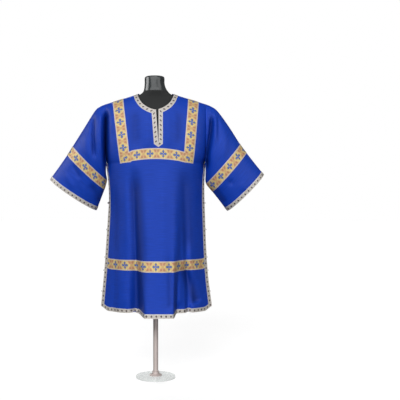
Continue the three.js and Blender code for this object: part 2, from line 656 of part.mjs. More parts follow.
// The closed centre line of a cord loop that is laid along a level curve and turns round at both of its ends.
function loopLine(curve) {
  const length = curve.getLength();
  const up = new THREE.Vector3(0, 0, 1);
  const points = [];
  const quarter = Math.PI / 4;
  const arc = (centre, from) => {
    for (let i = 0; i <= 4; i++) {
      const turn = from + i * quarter;
      const share = (centre + LOOP.bend * Math.cos(turn)) / length;
      points.push(curve.getPointAt(share).addScaledVector(up, LOOP.bend * Math.sin(turn)));
    }
  };
  const straight = (from, to, height) => {
    for (const share of [0.25, 0.5, 0.75]) {
      points.push(curve.getPointAt(mix(from, to, share) / length).addScaledVector(up, height));
    }
  };
  arc(length - LOOP.bend, -Math.PI / 2);
  straight(length - LOOP.bend, LOOP.bend, LOOP.bend);
  arc(LOOP.bend, Math.PI / 2);
  straight(LOOP.bend, length - LOOP.bend, -LOOP.bend);
  return new THREE.CatmullRomCurve3(points, true);
}

function addButton(word, sign, number, { height, inset }) {
  const behind = edgeAt(backGrid, sign, height);
  const ahead = edgeAt(frontGrid, sign, height);
  const surface = CLOTH + GALLOON + 2 * GAP;
  const inward = new THREE.Vector3(behind.normal.y * -sign, behind.normal.x * sign, 0);
  const root = behind.point.clone().addScaledVector(behind.normal, surface);
  root.addScaledVector(inward, inset);

  const start = Math.asin(SHANK.radius / BALL_RADIUS) - Math.PI / 2;
  const foot = -BALL_RADIUS - SHANK.length;
  const profile = [new THREE.Vector2(0, foot), new THREE.Vector2(SHANK.radius, foot)];
  const steps = 5;
  for (let i = 0; i < steps; i++) {
    const turn = mix(start, Math.PI / 2, i / steps);
    profile.push(new THREE.Vector2(BALL_RADIUS * Math.cos(turn), BALL_RADIUS * Math.sin(turn)));
  }
  profile.push(new THREE.Vector2(0, BALL_RADIUS));
  const button = add(`button_${word}_${number}`, new THREE.LatheGeometry(profile, 8), brass);
  button.quaternion.setFromUnitVectors(new THREE.Vector3(0, 1, 0), behind.normal);
  button.position.copy(root).addScaledVector(behind.normal, -foot);

  // The loop runs from the front edge round the back edge to the shank.
  const lift = surface + LOOP.clear + LOOP.cord;
  const onBack = (from) => {
    const at = behind.point.clone().addScaledVector(inward, from);
    return at.addScaledVector(behind.normal, lift);
  };
  const beside = (y) => ahead.point.clone().setX(sign * (Math.abs(ahead.point.x) + lift + LOOP.outside)).setY(y);
  const curve = new THREE.CatmullRomCurve3([
    beside(-SIDE_GAP - LOOP.forward),
    beside(0),
    beside(SIDE_GAP),
    onBack(-LOOP.outside),
    onBack(inset + LOOP.bend),
  ]);
  const segments = 22;
  const sides = 4;
  add(`loop_${word}_${number}`, new THREE.TubeGeometry(loopLine(curve), segments, LOOP.cord, sides, true), cord);
}

for (const [word, { sign }] of Object.entries(SLEEVES)) {
  BUTTONS.forEach((row, i) => addButton(word, sign, i + 1, row));
}

// ---- the dress form -----------------------------------------------------------------------------

// A closed body through rings that are rounded rectangles of a given squareness.
function loft(rings, square) {
  const positions = [];
  const indices = [];
  const power = 2 / square;
  const around = (value) => Math.sign(value) * Math.pow(Math.abs(value), power);
  for (const { z, width, depth, forward, side = 0 } of rings) {
    for (let k = 0; k < FORM_SIDES; k++) {
      const turn = (k / FORM_SIDES) * Math.PI * 2;
      positions.push(side + width * around(Math.cos(turn)), depth * around(Math.sin(turn)) - forward, z);
    }
  }
  const next = (k) => (k + 1) % FORM_SIDES;
  for (let i = 0; i < rings.length - 1; i++) {
    const low = i * FORM_SIDES;
    const high = low + FORM_SIDES;
    for (let k = 0; k < FORM_SIDES; k++) {
      indices.push(low + k, low + next(k), high + next(k), low + k, high + next(k), high + k);
    }
  }
  const caps = [[0, rings[0], true], [rings.length - 1, rings.at(-1), false]];
  for (const [i, ring, down] of caps) {
    const centre = positions.length / 3;
    positions.push(ring.side ?? 0, -ring.forward, ring.z);
    for (let k = 0; k < FORM_SIDES; k++) {
      const a = i * FORM_SIDES + k;
      const b = i * FORM_SIDES + next(k);
      indices.push(...(down ? [centre, b, a] : [centre, a, b]));
    }
  }
  const geometry = new THREE.BufferGeometry();
  geometry.setAttribute("position", new THREE.Float32BufferAttribute(positions, 3));
  geometry.setIndex(indices);
  return geometry;
}

// A turned body about the vertical axis, from radius and height pairs.
function turned(outline, sides) {
  const geometry = new THREE.LatheGeometry(outline.map(([r, z]) => new THREE.Vector2(r, z)), sides);
  return geometry.rotateX(Math.PI / 2);
}

function addForm() {
  add("form_torso", loft(TORSO, TORSO_SQUARE), jersey);
  add("form_neck", loft(NECK, 2), lacquer);
  const bevel = 1.5;
  const rim = [
    [0, 0],
    [BASE_RADIUS - bevel, 0],
    [BASE_RADIUS, bevel],
    [BASE_RADIUS, BASE_THICKNESS - bevel],
    [BASE_RADIUS - bevel, BASE_THICKNESS],
    [0, BASE_THICKNESS],
  ];
  add("form_base", turned(rim, 32), glass);
  const foot = BASE_THICKNESS + GAP;
  const hub = [
    [0, foot],
    [FLANGE.radius, foot],
    [FLANGE.radius, foot + FLANGE.height * 0.5],
    [FLANGE.radius - 4, foot + FLANGE.height],
    [FLANGE.hubRadius, foot + FLANGE.height + 1.5],
    [FLANGE.hubRadius, foot + FLANGE.hubHeight],
    [0, foot + FLANGE.hubHeight],
  ];
  add("form_flange", turned(hub, 20), chrome);
  const low = foot + FLANGE.hubHeight + GAP;
  const height = TORSO[0].z - GAP - low;
  const pole = new THREE.CylinderGeometry(POLE_RADIUS, POLE_RADIUS, height, 16);
  pole.rotateX(Math.PI / 2);
  add("form_pole", pole, chrome).position.set(0, 0, low + height / 2);
}
addForm();

export default garment;
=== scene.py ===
"""A sticharion on a limbless dress form: the cloth, galloons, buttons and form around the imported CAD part.

Sizes are millimetres, as in the part's source, and become metres when a mesh is made.
The front faces -Y, the wearer's right is -X, and the origin is the centre of the base's underside.
"""

import math

import bpy
import numpy as np
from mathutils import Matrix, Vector
from mathutils.bvhtree import BVHTree


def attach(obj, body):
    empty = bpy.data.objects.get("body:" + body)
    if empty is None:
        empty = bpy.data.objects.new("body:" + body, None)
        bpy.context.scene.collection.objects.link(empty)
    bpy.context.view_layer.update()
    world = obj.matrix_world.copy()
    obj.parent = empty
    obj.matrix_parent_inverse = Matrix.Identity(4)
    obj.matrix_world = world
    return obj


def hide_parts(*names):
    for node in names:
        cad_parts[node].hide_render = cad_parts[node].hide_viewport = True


MM = 0.001
FRONT = -1
BACK = 1

# ---- sizes shared with the CAD part ---------------------------------------------------------------

CLOTH = 1.5  # outer face of the cloth, above the sections below
SHELL = 0.9  # thickness of the satin
GALLOON_LIFT = 0.35  # air between the satin and a galloon
GALLOON = 0.8  # thickness of a galloon
TRIM_WIDTH = 23.0
BAND_WIDTH = 58.0

NECK_PEAK = 1560.0
CENTRE_FALL = 1205.0
SHOULDER_X = 116.0
SHOULDER_Z = 1536.0
SHOULDER_SLOPE = 0.31
SHOULDER_FADE = 2.6
HEM_CENTRE = 357.0
HEM_FADE = 5.0
ARMHOLE_DEPTH = 58.0
UNDERARM = 0.305
SHOULDER_TURN = 0.06  # share of the fall in which the cloth turns over the shoulder
TUCK = 0.8  # how far the satin's cut edge stays behind the edge of the galloon on it
SIDE_GAP = 4.0
GAP = 0.3
FULL_SHADE_DEPTH = 40.0  # a trough this deep gets the full painted shade in the satin's colour


def table(columns, *rows):
    """A list of rows as dictionaries, from the names of the columns."""
    names = columns.split()
    return [dict(zip(names, row)) for row in rows]


# Body sections by the share of the fall: half widths to the wearer's right and left, depths, squareness, and
# how the edges flare.
LEVELS = table(
    "at right left front back square flare_right flare_left",
    (0.0, 270, 270, 0.2, 0.2, 4.0, 0.74, 0.74),
    (0.007, 270, 270, 36, 34, 4.0, 0.74, 0.74),
    (0.02, 270, 270, 58, 56, 4.0, 0.74, 0.74),
    (0.045, 270, 270, 80, 79, 4.0, 0.74, 0.74),
    (0.08, 270, 270, 99, 100, 4.0, 0.74, 0.74),
    (0.12, 270, 270, 114, 115, 4.0, 0.74, 0.74),
    (0.17, 270, 270, 125, 125, 4.0, 0.74, 0.74),
    (0.22, 270, 270, 132, 129, 4.0, 0.74, 0.74),
    (0.305, 268, 268, 137, 128, 3.8, 0.74, 0.78),
    (0.39, 256, 263, 141, 126, 3.6, 0.78, 1.0),
    (0.48, 252, 264, 145, 128, 3.6, 0.9, 1.2),
    (0.57, 259, 268, 147, 134, 3.6, 1.2, 1.3),
    (0.66, 267, 272, 146, 140, 3.8, 1.4, 1.4),
    (0.8, 278, 281, 140, 146, 4.0, 1.5, 1.5),
    (0.9, 288, 292, 136, 149, 4.0, 1.5, 1.5),
    (1.0, 298, 306, 132, 152, 4.0, 1.5, 1.5),
)

# Folds from their start to the hem: place, width of the level crest, widths of the flanks on the wearer's
# right and left (each at the start and at the hem), how far they stand out, how far they raise the hem, the
# share of the fall where they start, and how fast they grow.
FOLD_COLUMNS = "x0 x1 crest0 crest1 right0 right1 left0 left1 out lift start power"
FOLDS = {
    FRONT: table(
        FOLD_COLUMNS,
        (-10, 19, 200, 138, 20, 42, 70, 22, 96, -14, 0.3, 1.6),
        (150, 172, 0, 0, 26, 22, 26, 26, -24, 3, 0.36, 1.0),
        (-116, -112, 0, 0, 40, 34, 30, 22, -12, 2, 0.33, 0.8),
        (-205, -226, 0, 0, 26, 30, 26, 30, -8, 0, 0.42, 0.7),
    ),
    BACK: table(
        FOLD_COLUMNS,
        (130, 166, 0, 20, 80, 66, 80, 60, 62, -8, 0.3, 1.3),
        (-120, -146, 0, 20, 80, 60, 80, 62, 58, -7, 0.3, 1.3),
        (0, 6, 0, 0, 60, 60, 60, 60, -14, 8, 0.4, 1.2),
    ),
}
HEM = {FRONT: {"height": 369, "corner": 20, "reach": 46}, BACK: {"height": 384, "corner": 14, "reach": 60}}

YOKE_TOP = 0.2639
YOKE_LOW = YOKE_TOP + BAND_WIDTH / CENTRE_FALL
HEM_BAND_TOP = 0.757
HEM_BAND_LOW = HEM_BAND_TOP + BAND_WIDTH / CENTRE_FALL
HEM_TRIM_TOP = 1 - TRIM_WIDTH / CENTRE_FALL

# Columns of half a panel, numbered from the centre line: the yoke lies between its inner and outer column,
# and the side trim between the last two.
CENTRE_COLUMNS = [0, 32, 65, 97, 122]
YOKE_INNER_TOP = 175.0
YOKE_INNER_LOW = 140.0
YOKE_SHIFT = {FRONT: 6.0, BACK: 0.0}
OUTER_COLUMNS = 4
YOKE_INSIDE = len(CENTRE_COLUMNS)
YOKE_OUTSIDE = YOKE_INSIDE + 2
TRIM_INSIDE = YOKE_OUTSIDE + OUTER_COLUMNS + 1
EDGE = TRIM_INSIDE + 1

NECK_HALF = 100.0
NECK_TOP = 1600.0
NECK_START = 1560.0
NECK_CURVE = {FRONT: ((95, 1472), (8, 1449)), BACK: ((74, 1511), (0, 1511))}
SLIT = {"right_top": 1.5, "right_low": 13.6, "left": 15.0, "low": 1276.0, "shoulder": 0.5, "tip": 1.2}

# Sleeve rings: top and low point (outward, up), half depth, swing to the back, and droop of the front.
RING_COLUMNS = "at top_x top_z low_x low_z depth back droop"
SLEEVES = {
    -1: table(
        RING_COLUMNS,
        (0, 270.2, 1488.3, 270.2, 1176, 58, 0, 0),
        (1, 303, 1474, 272, 1152, 70, 1, 0),
        (2, 331, 1450, 273, 1130, 78, 4, 0),
        (3, 388, 1361, 272, 1103, 84, 12, 2),
        (4, 452, 1262, 269, 1078, 84, 26, 4),
        (5, 483, 1215, 283, 1026, 82, 36, 6),
        (6, 526, 1155, 303, 975, 79, 48, 8),
        (7, 568, 1099, 319, 934, 76, 58, 11),
        (8, 581, 1080, 328, 912, 75, 61, 11),
    ),
    1: table(
        RING_COLUMNS,
        (0, 270.2, 1488.3, 270.2, 1176, 58, 0, 0),
        (1, 304, 1474, 272, 1152, 70, 0, 0),
        (2, 338, 1448, 273, 1128, 78, 2, 0),
        (3, 398, 1366, 273, 1098, 84, 4, 2),
        (4, 458, 1273, 276, 1060, 84, 8, 4),
        (5, 494, 1225, 311, 1014, 82, 12, 5),
        (6, 536, 1172, 346, 970, 79, 16, 7),
        (7, 575, 1124, 378, 928, 76, 19, 9),
        (8, 590, 1107, 393, 910, 75, 20, 9),
    ),
}
SLEEVE_BAND = (4, 5)  # rings that the gold band lies between
CUFF_TRIM = (7, 8)
SIDE_WORDS = {-1: "right", 1: "left"}
FACE_WORDS = {FRONT: "front", BACK: "back"}

# ---- creases --------------------------------------------------------------------------------------

# Each crease runs through the points (x, z). Its half width and height are in mm (minus for a trough), and
# "ends" holds the shares of its length over which it dies out at its top and at its foot.
CREASE_COLUMNS = "path width height ends"
PANEL_CREASES = {
    FRONT: table(
        CREASE_COLUMNS,
        # the long valley on the wearer's right, and the strip beside it that catches the light
        ([(-109, 1165), (-106, 1021), (-96, 870), (-86, 720), (-88, 594), (-91, 372)], 30, -23, (0.2, 0)),
        ([(-160, 1120), (-156, 900), (-152, 690)], 22, 4, (0.3, 0.3)),
        ([(-214, 1080), (-218, 840), (-224, 640)], 17, -6, (0.3, 0.3)),
        # the ridge at the centre and the broad hollow on the wearer's left
        ([(36, 1180), (36, 820), (30, 640), (18, 420)], 34, 7, (0.3, 0.3)),
        ([(146, 1180), (160, 1021), (170, 870), (178, 660)], 38, -13, (0.3, 0.2)),
        # below the hem band
        ([(146, 650), (160, 580), (192, 500), (218, 410)], 27, -22, (0.3, 0.08)),
        ([(-178, 600), (-174, 480), (-172, 392)], 30, 4, (0.3, 0.2)),
        ([(66, 720), (74, 590), (78, 392)], 15, -9, (0.4, 0.1)),
        ([(112, 900), (118, 700), (121, 560), (122, 392)], 16, 12, (0.4, 0.1)),
        # inside the yoke
        ([(-112, 1470), (-109, 1350), (-102, 1226)], 26, -11, (0.3, 0.3)),
        ([(-44, 1400), (-42, 1300), (-40, 1230)], 17, 4, (0.4, 0.3)),
        ([(68, 1440), (71, 1330), (71, 1236)], 17, 5, (0.3, 0.3)),
        ([(129, 1460), (129, 1340), (124, 1236)], 21, -9, (0.3, 0.3)),
        # short wrinkles outside the yoke, under the wearer's left shoulder
        ([(214, 1366), (234, 1330)], 7, -3.0, (0.4, 0.4)),
        ([(208, 1318), (230, 1276)], 7, -2.8, (0.4, 0.4)),
        ([(202, 1270), (222, 1232)], 7, -2.6, (0.4, 0.4)),
        ([(-236, 1340), (-216, 1290)], 8, -2.4, (0.4, 0.4)),
    ),
    BACK: table(
        CREASE_COLUMNS,
        # a slanted crease from the neck to the yoke, and the valleys below it
        ([(-88, 1470), (-106, 1371), (-138, 1228), (-112, 1130)], 13, -10, (0.2, 0.3)),
        ([(-112, 1140), (-112, 900), (-106, 660), (-110, 400)], 20, -10, (0.2, 0.1)),
        ([(70, 1080), (76, 860), (84, 640), (90, 405)], 24, -9, (0.3, 0.1)),
        ([(96, 1450), (112, 1330), (126, 1236)], 15, -4, (0.3, 0.3)),
        ([(190, 1120), (196, 860), (204, 660)], 22, -5, (0.3, 0.3)),
        ([(-196, 1120), (-202, 860), (-210, 660)], 20, -4, (0.3, 0.3)),
        ([(-24, 1130), (-20, 860), (-16, 660)], 30, 4, (0.3, 0.3)),
        ([(-214, 1360), (-236, 1306)], 8, -2.4, (0.4, 0.4)),
        ([(216, 1340), (232, 1290)], 8, -2.2, (0.4, 0.4)),
    ),
}
# The valleys between the body and the sleeves cross the armhole seam, so that both sides of it share them.
SEAM_CREASES = {
    FRONT: table(
        CREASE_COLUMNS,
        ([(-264, 1470), (-268, 1390), (-268, 1250), (-262, 1100)], 14, -37, (0.2, 0.25)),
        ([(304, 1440), (296, 1340), (279, 1220), (266, 1120)], 12, -27, (0.2, 0.1)),
        ([(274, 1196), (266, 1130)], 16, -18, (0.4, 0.3)),
    ),
    BACK: table(
        CREASE_COLUMNS,
        ([(-256, 1456), (-262, 1340), (-258, 1220), (-250, 1110)], 14, -17, (0.2, 0.15)),
        ([(262, 1460), (270, 1340), (264, 1220), (256, 1110)], 14, -16, (0.2, 0.15)),
    ),
}
SLEEVE_CREASES = {
    -1: {
        FRONT: table(
            CREASE_COLUMNS,
            ([(-334, 1430), (-336, 1320), (-328, 1180)], 10, -20, (0.2, 0.25)),
            ([(-296, 1440), (-299, 1330), (-297, 1190)], 11, 6, (0.2, 0.3)),
            ([(-300, 1446), (-292, 1378)], 6, 3, (0.4, 0.4)),
            ([(-384, 1350), (-370, 1250), (-350, 1150)], 18, 5, (0.4, 0.4)),
            ([(-446, 1164), (-428, 1120), (-408, 1076)], 13, -7.5, (0.3, 0.3)),
            ([(-492, 1120), (-462, 1056), (-446, 1020)], 16, 4, (0.3, 0.3)),
            ([(-356, 1060), (-326, 1010), (-306, 950)], 17, -10, (0.3, 0.1)),
            ([(-398, 1060), (-384, 1000), (-376, 950)], 16, 3, (0.3, 0.2)),
        ),
        BACK: table(
            CREASE_COLUMNS,
            ([(-318, 1440), (-330, 1340), (-346, 1240)], 12, -7, (0.3, 0.3)),
            ([(-372, 1370), (-384, 1280), (-380, 1190)], 14, -5, (0.3, 0.3)),
            ([(-420, 1130), (-424, 1060), (-410, 1000)], 15, -5, (0.3, 0.3)),
        ),
    },
    1: {
        FRONT: table(
            CREASE_COLUMNS,
            ([(322, 1430), (320, 1340), (314, 1240)], 9, 6, (0.3, 0.4)),
            ([(336, 1436), (338, 1350), (336, 1270)], 7, -6, (0.3, 0.4)),
            ([(380, 1370), (370, 1260), (352, 1160)], 20, 5, (0.4, 0.4)),
            ([(398, 1086), (408, 1040)], 13, -7, (0.4, 0.4)),
            ([(322, 1036), (346, 990), (376, 950)], 14, -9, (0.3, 0.1)),
            ([(462, 1070), (474, 1010)], 20, 4, (0.4, 0.4)),
        ),
        BACK: table(
            CREASE_COLUMNS,
            ([(326, 1436), (338, 1340), (352, 1240)], 12, -7, (0.3, 0.3)),
            ([(384, 1380), (398, 1290), (400, 1200)], 14, -5, (0.3, 0.3)),
            ([(416, 1110), (424, 1040), (418, 990)], 15, -5, (0.3, 0.3)),
        ),
    },
}

# ---- shapes ---------------------------------------------------------------------------------------


def curve(rows, column, at):
    """A smooth value from a table's column: a cubic through its rows, and level outside them."""
    places = np.array([row["at"] for row in rows], float)
    values = np.array([row[column] for row in rows], float)
    slopes = np.diff(values) / np.diff(places)
    tangents = np.concatenate([slopes[:1], (slopes[:-1] + slopes[1:]) / 2, slopes[-1:]])
    at = np.clip(at, places[0], places[-1])
    i = np.clip(np.searchsorted(places, at, side="right") - 1, 0, len(places) - 2)
    step = places[i + 1] - places[i]
    s = (at - places[i]) / step
    rise = values[i + 1] - values[i]
    bend = s * (1 - s) ** 2 * step * tangents[i] - s * s * (1 - s) * step * tangents[i + 1]
    return values[i] + s * s * (3 - 2 * s) * rise + bend


def mix(a, b, s):
    return a + (b - a) * s


def smooth(s):
    s = np.clip(s, 0, 1)
    return s * s * (3 - 2 * s)


def fold_shape(fold, x, age):
    """How much of a fold's depth shows at x, from 0 to 1, at an age from 0 at its start to 1 at the hem."""
    off = x - mix(fold["x0"], fold["x1"], age)
    right = mix(fold["right0"], fold["right1"], age)
    left = mix(fold["left0"], fold["left1"], age)
    crest = mix(fold["crest0"], fold["crest1"], age)
    return 1 - smooth((np.abs(off) - crest / 2) / np.where(off < 0, right, left))


def fold_depth(facing, x, at):
    """How far all the folds stand out at x, on the row at that share of the fall."""
    depth = np.zeros_like(x)
    for fold in FOLDS[facing]:
        age = max(0.0, (at - fold["start"]) / (1 - fold["start"]))
        depth += fold["out"] * age ** fold["power"] * fold_shape(fold, x, age)
    return depth


def shoulder_height(x):
    out = np.abs(x)
    inside = mix(NECK_PEAK, SHOULDER_Z, (out / SHOULDER_X) ** 2)
    return np.where(out > SHOULDER_X, SHOULDER_Z - (out - SHOULDER_X) * SHOULDER_SLOPE, inside)


def hem_height(facing, x):
    hem = HEM[facing]
    edge = np.where(x < 0, curve(LEVELS, "right", 1.0), curve(LEVELS, "left", 1.0))
    height = hem["height"] + hem["corner"] * smooth(1 - (edge - np.abs(x)) / hem["reach"])
    for fold in FOLDS[facing]:
        height += fold["lift"] * fold_shape(fold, x, 1.0)
    return height


def cloth_height(shoulder, hem, at):
    level = mix(NECK_PEAK, HEM_CENTRE, at)
    return level - (NECK_PEAK - shoulder) * (1 - at) ** SHOULDER_FADE + (hem - HEM_CENTRE) * at**HEM_FADE


def armhole_depth(at):
    s = at / UNDERARM
    ellipse = ARMHOLE_DEPTH * math.sqrt(1 - (2 * s - 1) ** 2) if s < 1 else 0.0
    opened = float(smooth((at - 0.2) / (UNDERARM - 0.2))) * SIDE_GAP
    return max(GAP / 2, ellipse, opened)


def half_section(facing, half, at):
    """Half a section from the centre line to the side edge: X, depth, and the cloth's length so far."""
    word = SIDE_WORDS[half]
    width = curve(LEVELS, word, at)
    depth = curve(LEVELS, FACE_WORDS[facing], at)
    edge = armhole_depth(at)
    share = np.sin(np.linspace(0, math.pi / 2, 481))
    x = half * width * share
    body = np.clip(1 - share ** curve(LEVELS, "square", at), 0, 1) ** curve(LEVELS, "flare_" + word, at)
    y = edge + (max(depth, edge) - edge) * body + fold_depth(facing, x, at) * (1 - share**10)
    length = np.concatenate([[0], np.cumsum(np.hypot(np.diff(x), np.diff(y)))])
    return x, y, length


def half_columns(facing, half, at, edge):
    """The cloth distances of half a panel's columns at one row."""
    inner = mix(YOKE_INNER_TOP, YOKE_INNER_LOW + half * YOKE_SHIFT[facing], min(1, at / YOKE_LOW))
    outer = inner + BAND_WIDTH
    trim = edge - TRIM_WIDTH
    between = [mix(outer, trim, i / (OUTER_COLUMNS + 1)) for i in range(1, OUTER_COLUMNS + 1)]
    return [*CENTRE_COLUMNS, inner, inner + BAND_WIDTH / 2, outer, *between, trim, edge]


class Surface:
    """Cloth as a fine grid of points, which is read at any row and column in between."""

    def __init__(self, rows, columns, points, outward):
        self.rows = np.asarray(rows)
        self.columns = np.asarray(columns)
        self.points = points
        self.outward = outward
        # how deep each point lies in a fold, from 0 to 1: it darkens the satin's colour as painted shade
        self.hollow = np.zeros(points.shape[:2])
        self.find_normals()

    def find_normals(self):
        across = np.gradient(self.points, axis=1)
        down = np.gradient(self.points, axis=0)
        normals = self.outward * np.cross(across, down)
        self.normals = normals / np.maximum(np.linalg.norm(normals, axis=2, keepdims=True), 1e-9)

    def push(self, facing, height):
        """Moves the grid points out towards the front or back, and keeps how deep each point lies in a
        trough, for the painted shade.
        """
        self.points = self.points + np.array([0, facing, 0]) * height[..., None]
        self.hollow = np.maximum(self.hollow, np.clip(-height / FULL_SHADE_DEPTH, 0, 1))
        self.find_normals()

    def read(self, grid, rows, columns):
        """Values of a grid at those rows and columns."""
        i = np.interp(rows, self.rows, np.arange(len(self.rows)))
        j = np.interp(columns, self.columns, np.arange(len(self.columns)))
        i0 = np.minimum(i.astype(int), len(self.rows) - 2)
        j0 = np.minimum(j.astype(int), len(self.columns) - 2)
        fi = (i - i0)[..., None]
        fj = (j - j0)[..., None]
        top = mix(grid[i0, j0], grid[i0, j0 + 1], fj)
        low = mix(grid[i0 + 1, j0], grid[i0 + 1, j0 + 1], fj)
        return mix(top, low, fi)

    def place(self, rows, columns, lift=0.0):
        """Points at those rows and columns, lifted off the cloth."""
        normals = self.read(self.normals, rows, columns)
        normals /= np.linalg.norm(normals, axis=-1, keepdims=True)
        return self.read(self.points, rows, columns) + normals * lift

    def fold_shade_depth(self, rows, columns):
        """How deep in a fold those places lie, from 0 to 1, which is how much painted shade they get."""
        return self.read(self.hollow[..., None], rows, columns)[..., 0]


def crease_height(creases, x, z):
    """Height of all the creases at the places (x, z)."""
    height = np.zeros_like(x)
    for crease in creases:
        path = np.array(crease["path"], float)
        spans = np.diff(path, axis=0)
        lengths = np.hypot(*spans.T)
        starts = np.concatenate([[0], np.cumsum(lengths)])
        nearest = np.full(x.shape, 1e9)
        along = np.zeros_like(x)
        for k, (start, span) in enumerate(zip(path, spans)):
            t = np.clip(((x - start[0]) * span[0] + (z - start[1]) * span[1]) / lengths[k] ** 2, 0, 1)
            away = np.hypot(x - start[0] - t * span[0], z - start[1] - t * span[1])
            closer = away < nearest
            nearest = np.where(closer, away, nearest)
            along = np.where(closer, (starts[k] + t * lengths[k]) / starts[-1], along)
        top, foot = crease["ends"]
        fade = smooth(along / max(top, 1e-3)) * smooth((1 - along) / max(foot, 1e-3))
        height += crease["height"] * np.exp(-((nearest / crease["width"]) ** 2)) * fade
    return height


def panel_surface(facing):
    """The front or back panel, from the shoulder to the hem and from the right side edge to the left."""
    turn = np.linspace(0, 1, 90) ** 1.6 * SHOULDER_TURN  # rows are closest at the shoulder
    rows = np.concatenate([turn[:-1], np.linspace(SHOULDER_TURN, 1, 480)])
    half = np.linspace(0, EDGE, 14 * EDGE + 1)
    columns = np.concatenate([-half[:0:-1], half])
    across = np.zeros((len(rows), len(columns), 2))
    for i, at in enumerate(rows):
        for side, target in ((-1, slice(0, len(half))), (1, slice(len(half) - 1, None))):
            x, y, length = half_section(facing, side, at)
            knots = np.minimum(half_columns(facing, side, at, length[-1]), length[-1])
            cloth = np.interp(half, np.arange(len(knots)), knots)
            line = np.stack([np.interp(cloth, length, x), np.interp(cloth, length, y)], axis=1)
            across[i, target] = line[::-1] if side < 0 else line
    shoulder = shoulder_height(across[0, :, 0])
    hem = hem_height(facing, across[-1, :, 0])
    z = cloth_height(shoulder[None, :], hem[None, :], rows[:, None])
    points = np.stack([across[..., 0], facing * across[..., 1], z], axis=2)
    surface = Surface(rows, columns, points, facing)
    creases = PANEL_CREASES[facing] + SEAM_CREASES[facing]
    surface.push(facing, crease_height(creases, points[..., 0], points[..., 2]))
    at_armhole = surface.rows < UNDERARM
    for column in (0, -1):
        edge = surface.normals[at_armhole, column]
        edge[:, 0] = 0
        surface.normals[at_armhole, column] = edge / np.linalg.norm(edge, axis=1, keepdims=True)
    return surface


def sleeve_surface(sign):
    """A sleeve, from its armhole to its cuff and once round, with a little more for the normals."""
    rings = SLEEVES[sign]
    rows = np.linspace(0, rings[-1]["at"], 281)
    step = math.tau / 320
    turn = np.arange(-3, 324) * step
    value = {name: curve(rings, name, rows)[:, None] for name in RING_COLUMNS.split()[1:]}
    up = ((1 + np.cos(turn)) / 2)[None, :]
    fall = np.hypot(value["low_x"] - value["top_x"], value["low_z"] - value["top_z"])
    droop = value["droop"] * np.sin(turn)[None, :] / fall
    x = mix(value["low_x"], value["top_x"], up) - (value["low_z"] - value["top_z"]) * droop
    z = mix(value["low_z"], value["top_z"], up) + (value["low_x"] - value["top_x"]) * droop
    y = value["back"] - value["depth"] * np.sin(turn)[None, :]
    points = np.stack([sign * x, y, z], axis=2)
    surface = Surface(rows, turn, points, sign)
    side_normals = surface.normals
    for facing, creases in SLEEVE_CREASES[sign].items():
        seen = smooth(side_normals[..., 1] * facing * 2)
        height = crease_height(creases + SEAM_CREASES[facing], points[..., 0], points[..., 2])
        surface.push(facing, height * seen)
    surface.normals[0, :, 0] = 0
    surface.normals[0] /= np.linalg.norm(surface.normals[0], axis=1, keepdims=True)
    return surface


# ---- meshes ---------------------------------------------------------------------------------------


def linear(colour):
    """A colour given as sRGB 0 to 255, as linear light."""
    c = np.array(colour, float) / 255
    return np.where(c <= 0.04045, c / 12.92, ((c + 0.055) / 1.055) ** 2.4)


def add_mesh(name, points, faces, uv=None, smooth_shade=True):
    """A mesh object from points in mm, faces as an array of corners, and a UV in metres for each point."""
    mesh = bpy.data.meshes.new(name)
    mesh.from_pydata((np.asarray(points) * MM).tolist(), [], [list(map(int, face)) for face in faces])
    if uv is not None:
        corners = np.zeros(len(mesh.loops), int)
        mesh.loops.foreach_get("vertex_index", corners)
        layer = mesh.uv_layers.new(name="UVMap")
        layer.data.foreach_set("uv", (np.asarray(uv)[corners] * MM).astype(np.float32).ravel())
    mesh.polygons.foreach_set("use_smooth", [smooth_shade] * len(mesh.polygons))
    mesh.update()
    piece = bpy.data.objects.new(name, mesh)
    bpy.context.scene.collection.objects.link(piece)
    return piece


def grid_faces(rows, columns):
    """Faces of a grid, each as corners (i, j), (i, j+1), (i+1, j+1), (i+1, j)."""
    first = (np.arange(rows - 1)[:, None] * columns + np.arange(columns - 1)[None, :]).ravel()
    return np.stack([first, first + 1, first + columns + 1, first + columns], axis=1)


def rim_faces(faces, count):
    """Faces that close a shell's edge, between the outer points and the inner ones, count places later."""
    a = faces.ravel()
    b = np.roll(faces, -1, axis=1).ravel()
    known = set((a * count + b).tolist())
    open_edge = np.array([(q * count + p) not in known for p, q in zip(a.tolist(), b.tolist())])
    p = a[open_edge]
    q = b[open_edge]
    return np.stack([q, p, p + count, q + count], axis=1)


def add_shell(name, outer, inner, faces, uv, flip, colours=None, back_colour=None):
    """A closed thin shell. uv holds two places for each point and, on satin, its depth in a fold, which
    darkens the satin's colour as painted shade. colours holds one colour for each outer face, and back_colour
    is for the rest."""
    count = len(outer)
    faces = faces[:, ::-1] if flip else faces
    rim = rim_faces(faces, count)
    every = np.concatenate([faces, faces[:, ::-1] + count, rim])
    piece = add_mesh(name, np.concatenate([outer, inner]), every, np.concatenate([uv, uv])[:, :2])
    # the depth in a fold, kept on the mesh for the painted shade in the satin's colour
    if uv.shape[1] == 3:
        layer = piece.data.attributes.new("FoldShade", "FLOAT", "POINT")
        layer.data.foreach_set("value", np.concatenate([uv[:, 2], uv[:, 2]]).astype(np.float32))
    mark_rim_sharp(piece, faces, count)
    if colours is not None:
        filled = np.concatenate([colours, np.tile(back_colour, (len(faces) + len(rim), 1))])
        corner = np.concatenate([filled, np.ones((len(filled), 1))], axis=1)
        layer = piece.data.color_attributes.new("Thread", "FLOAT_COLOR", "CORNER")
        layer.data.foreach_set("color", np.repeat(corner, 4, axis=0).astype(np.float32).ravel())
    return piece


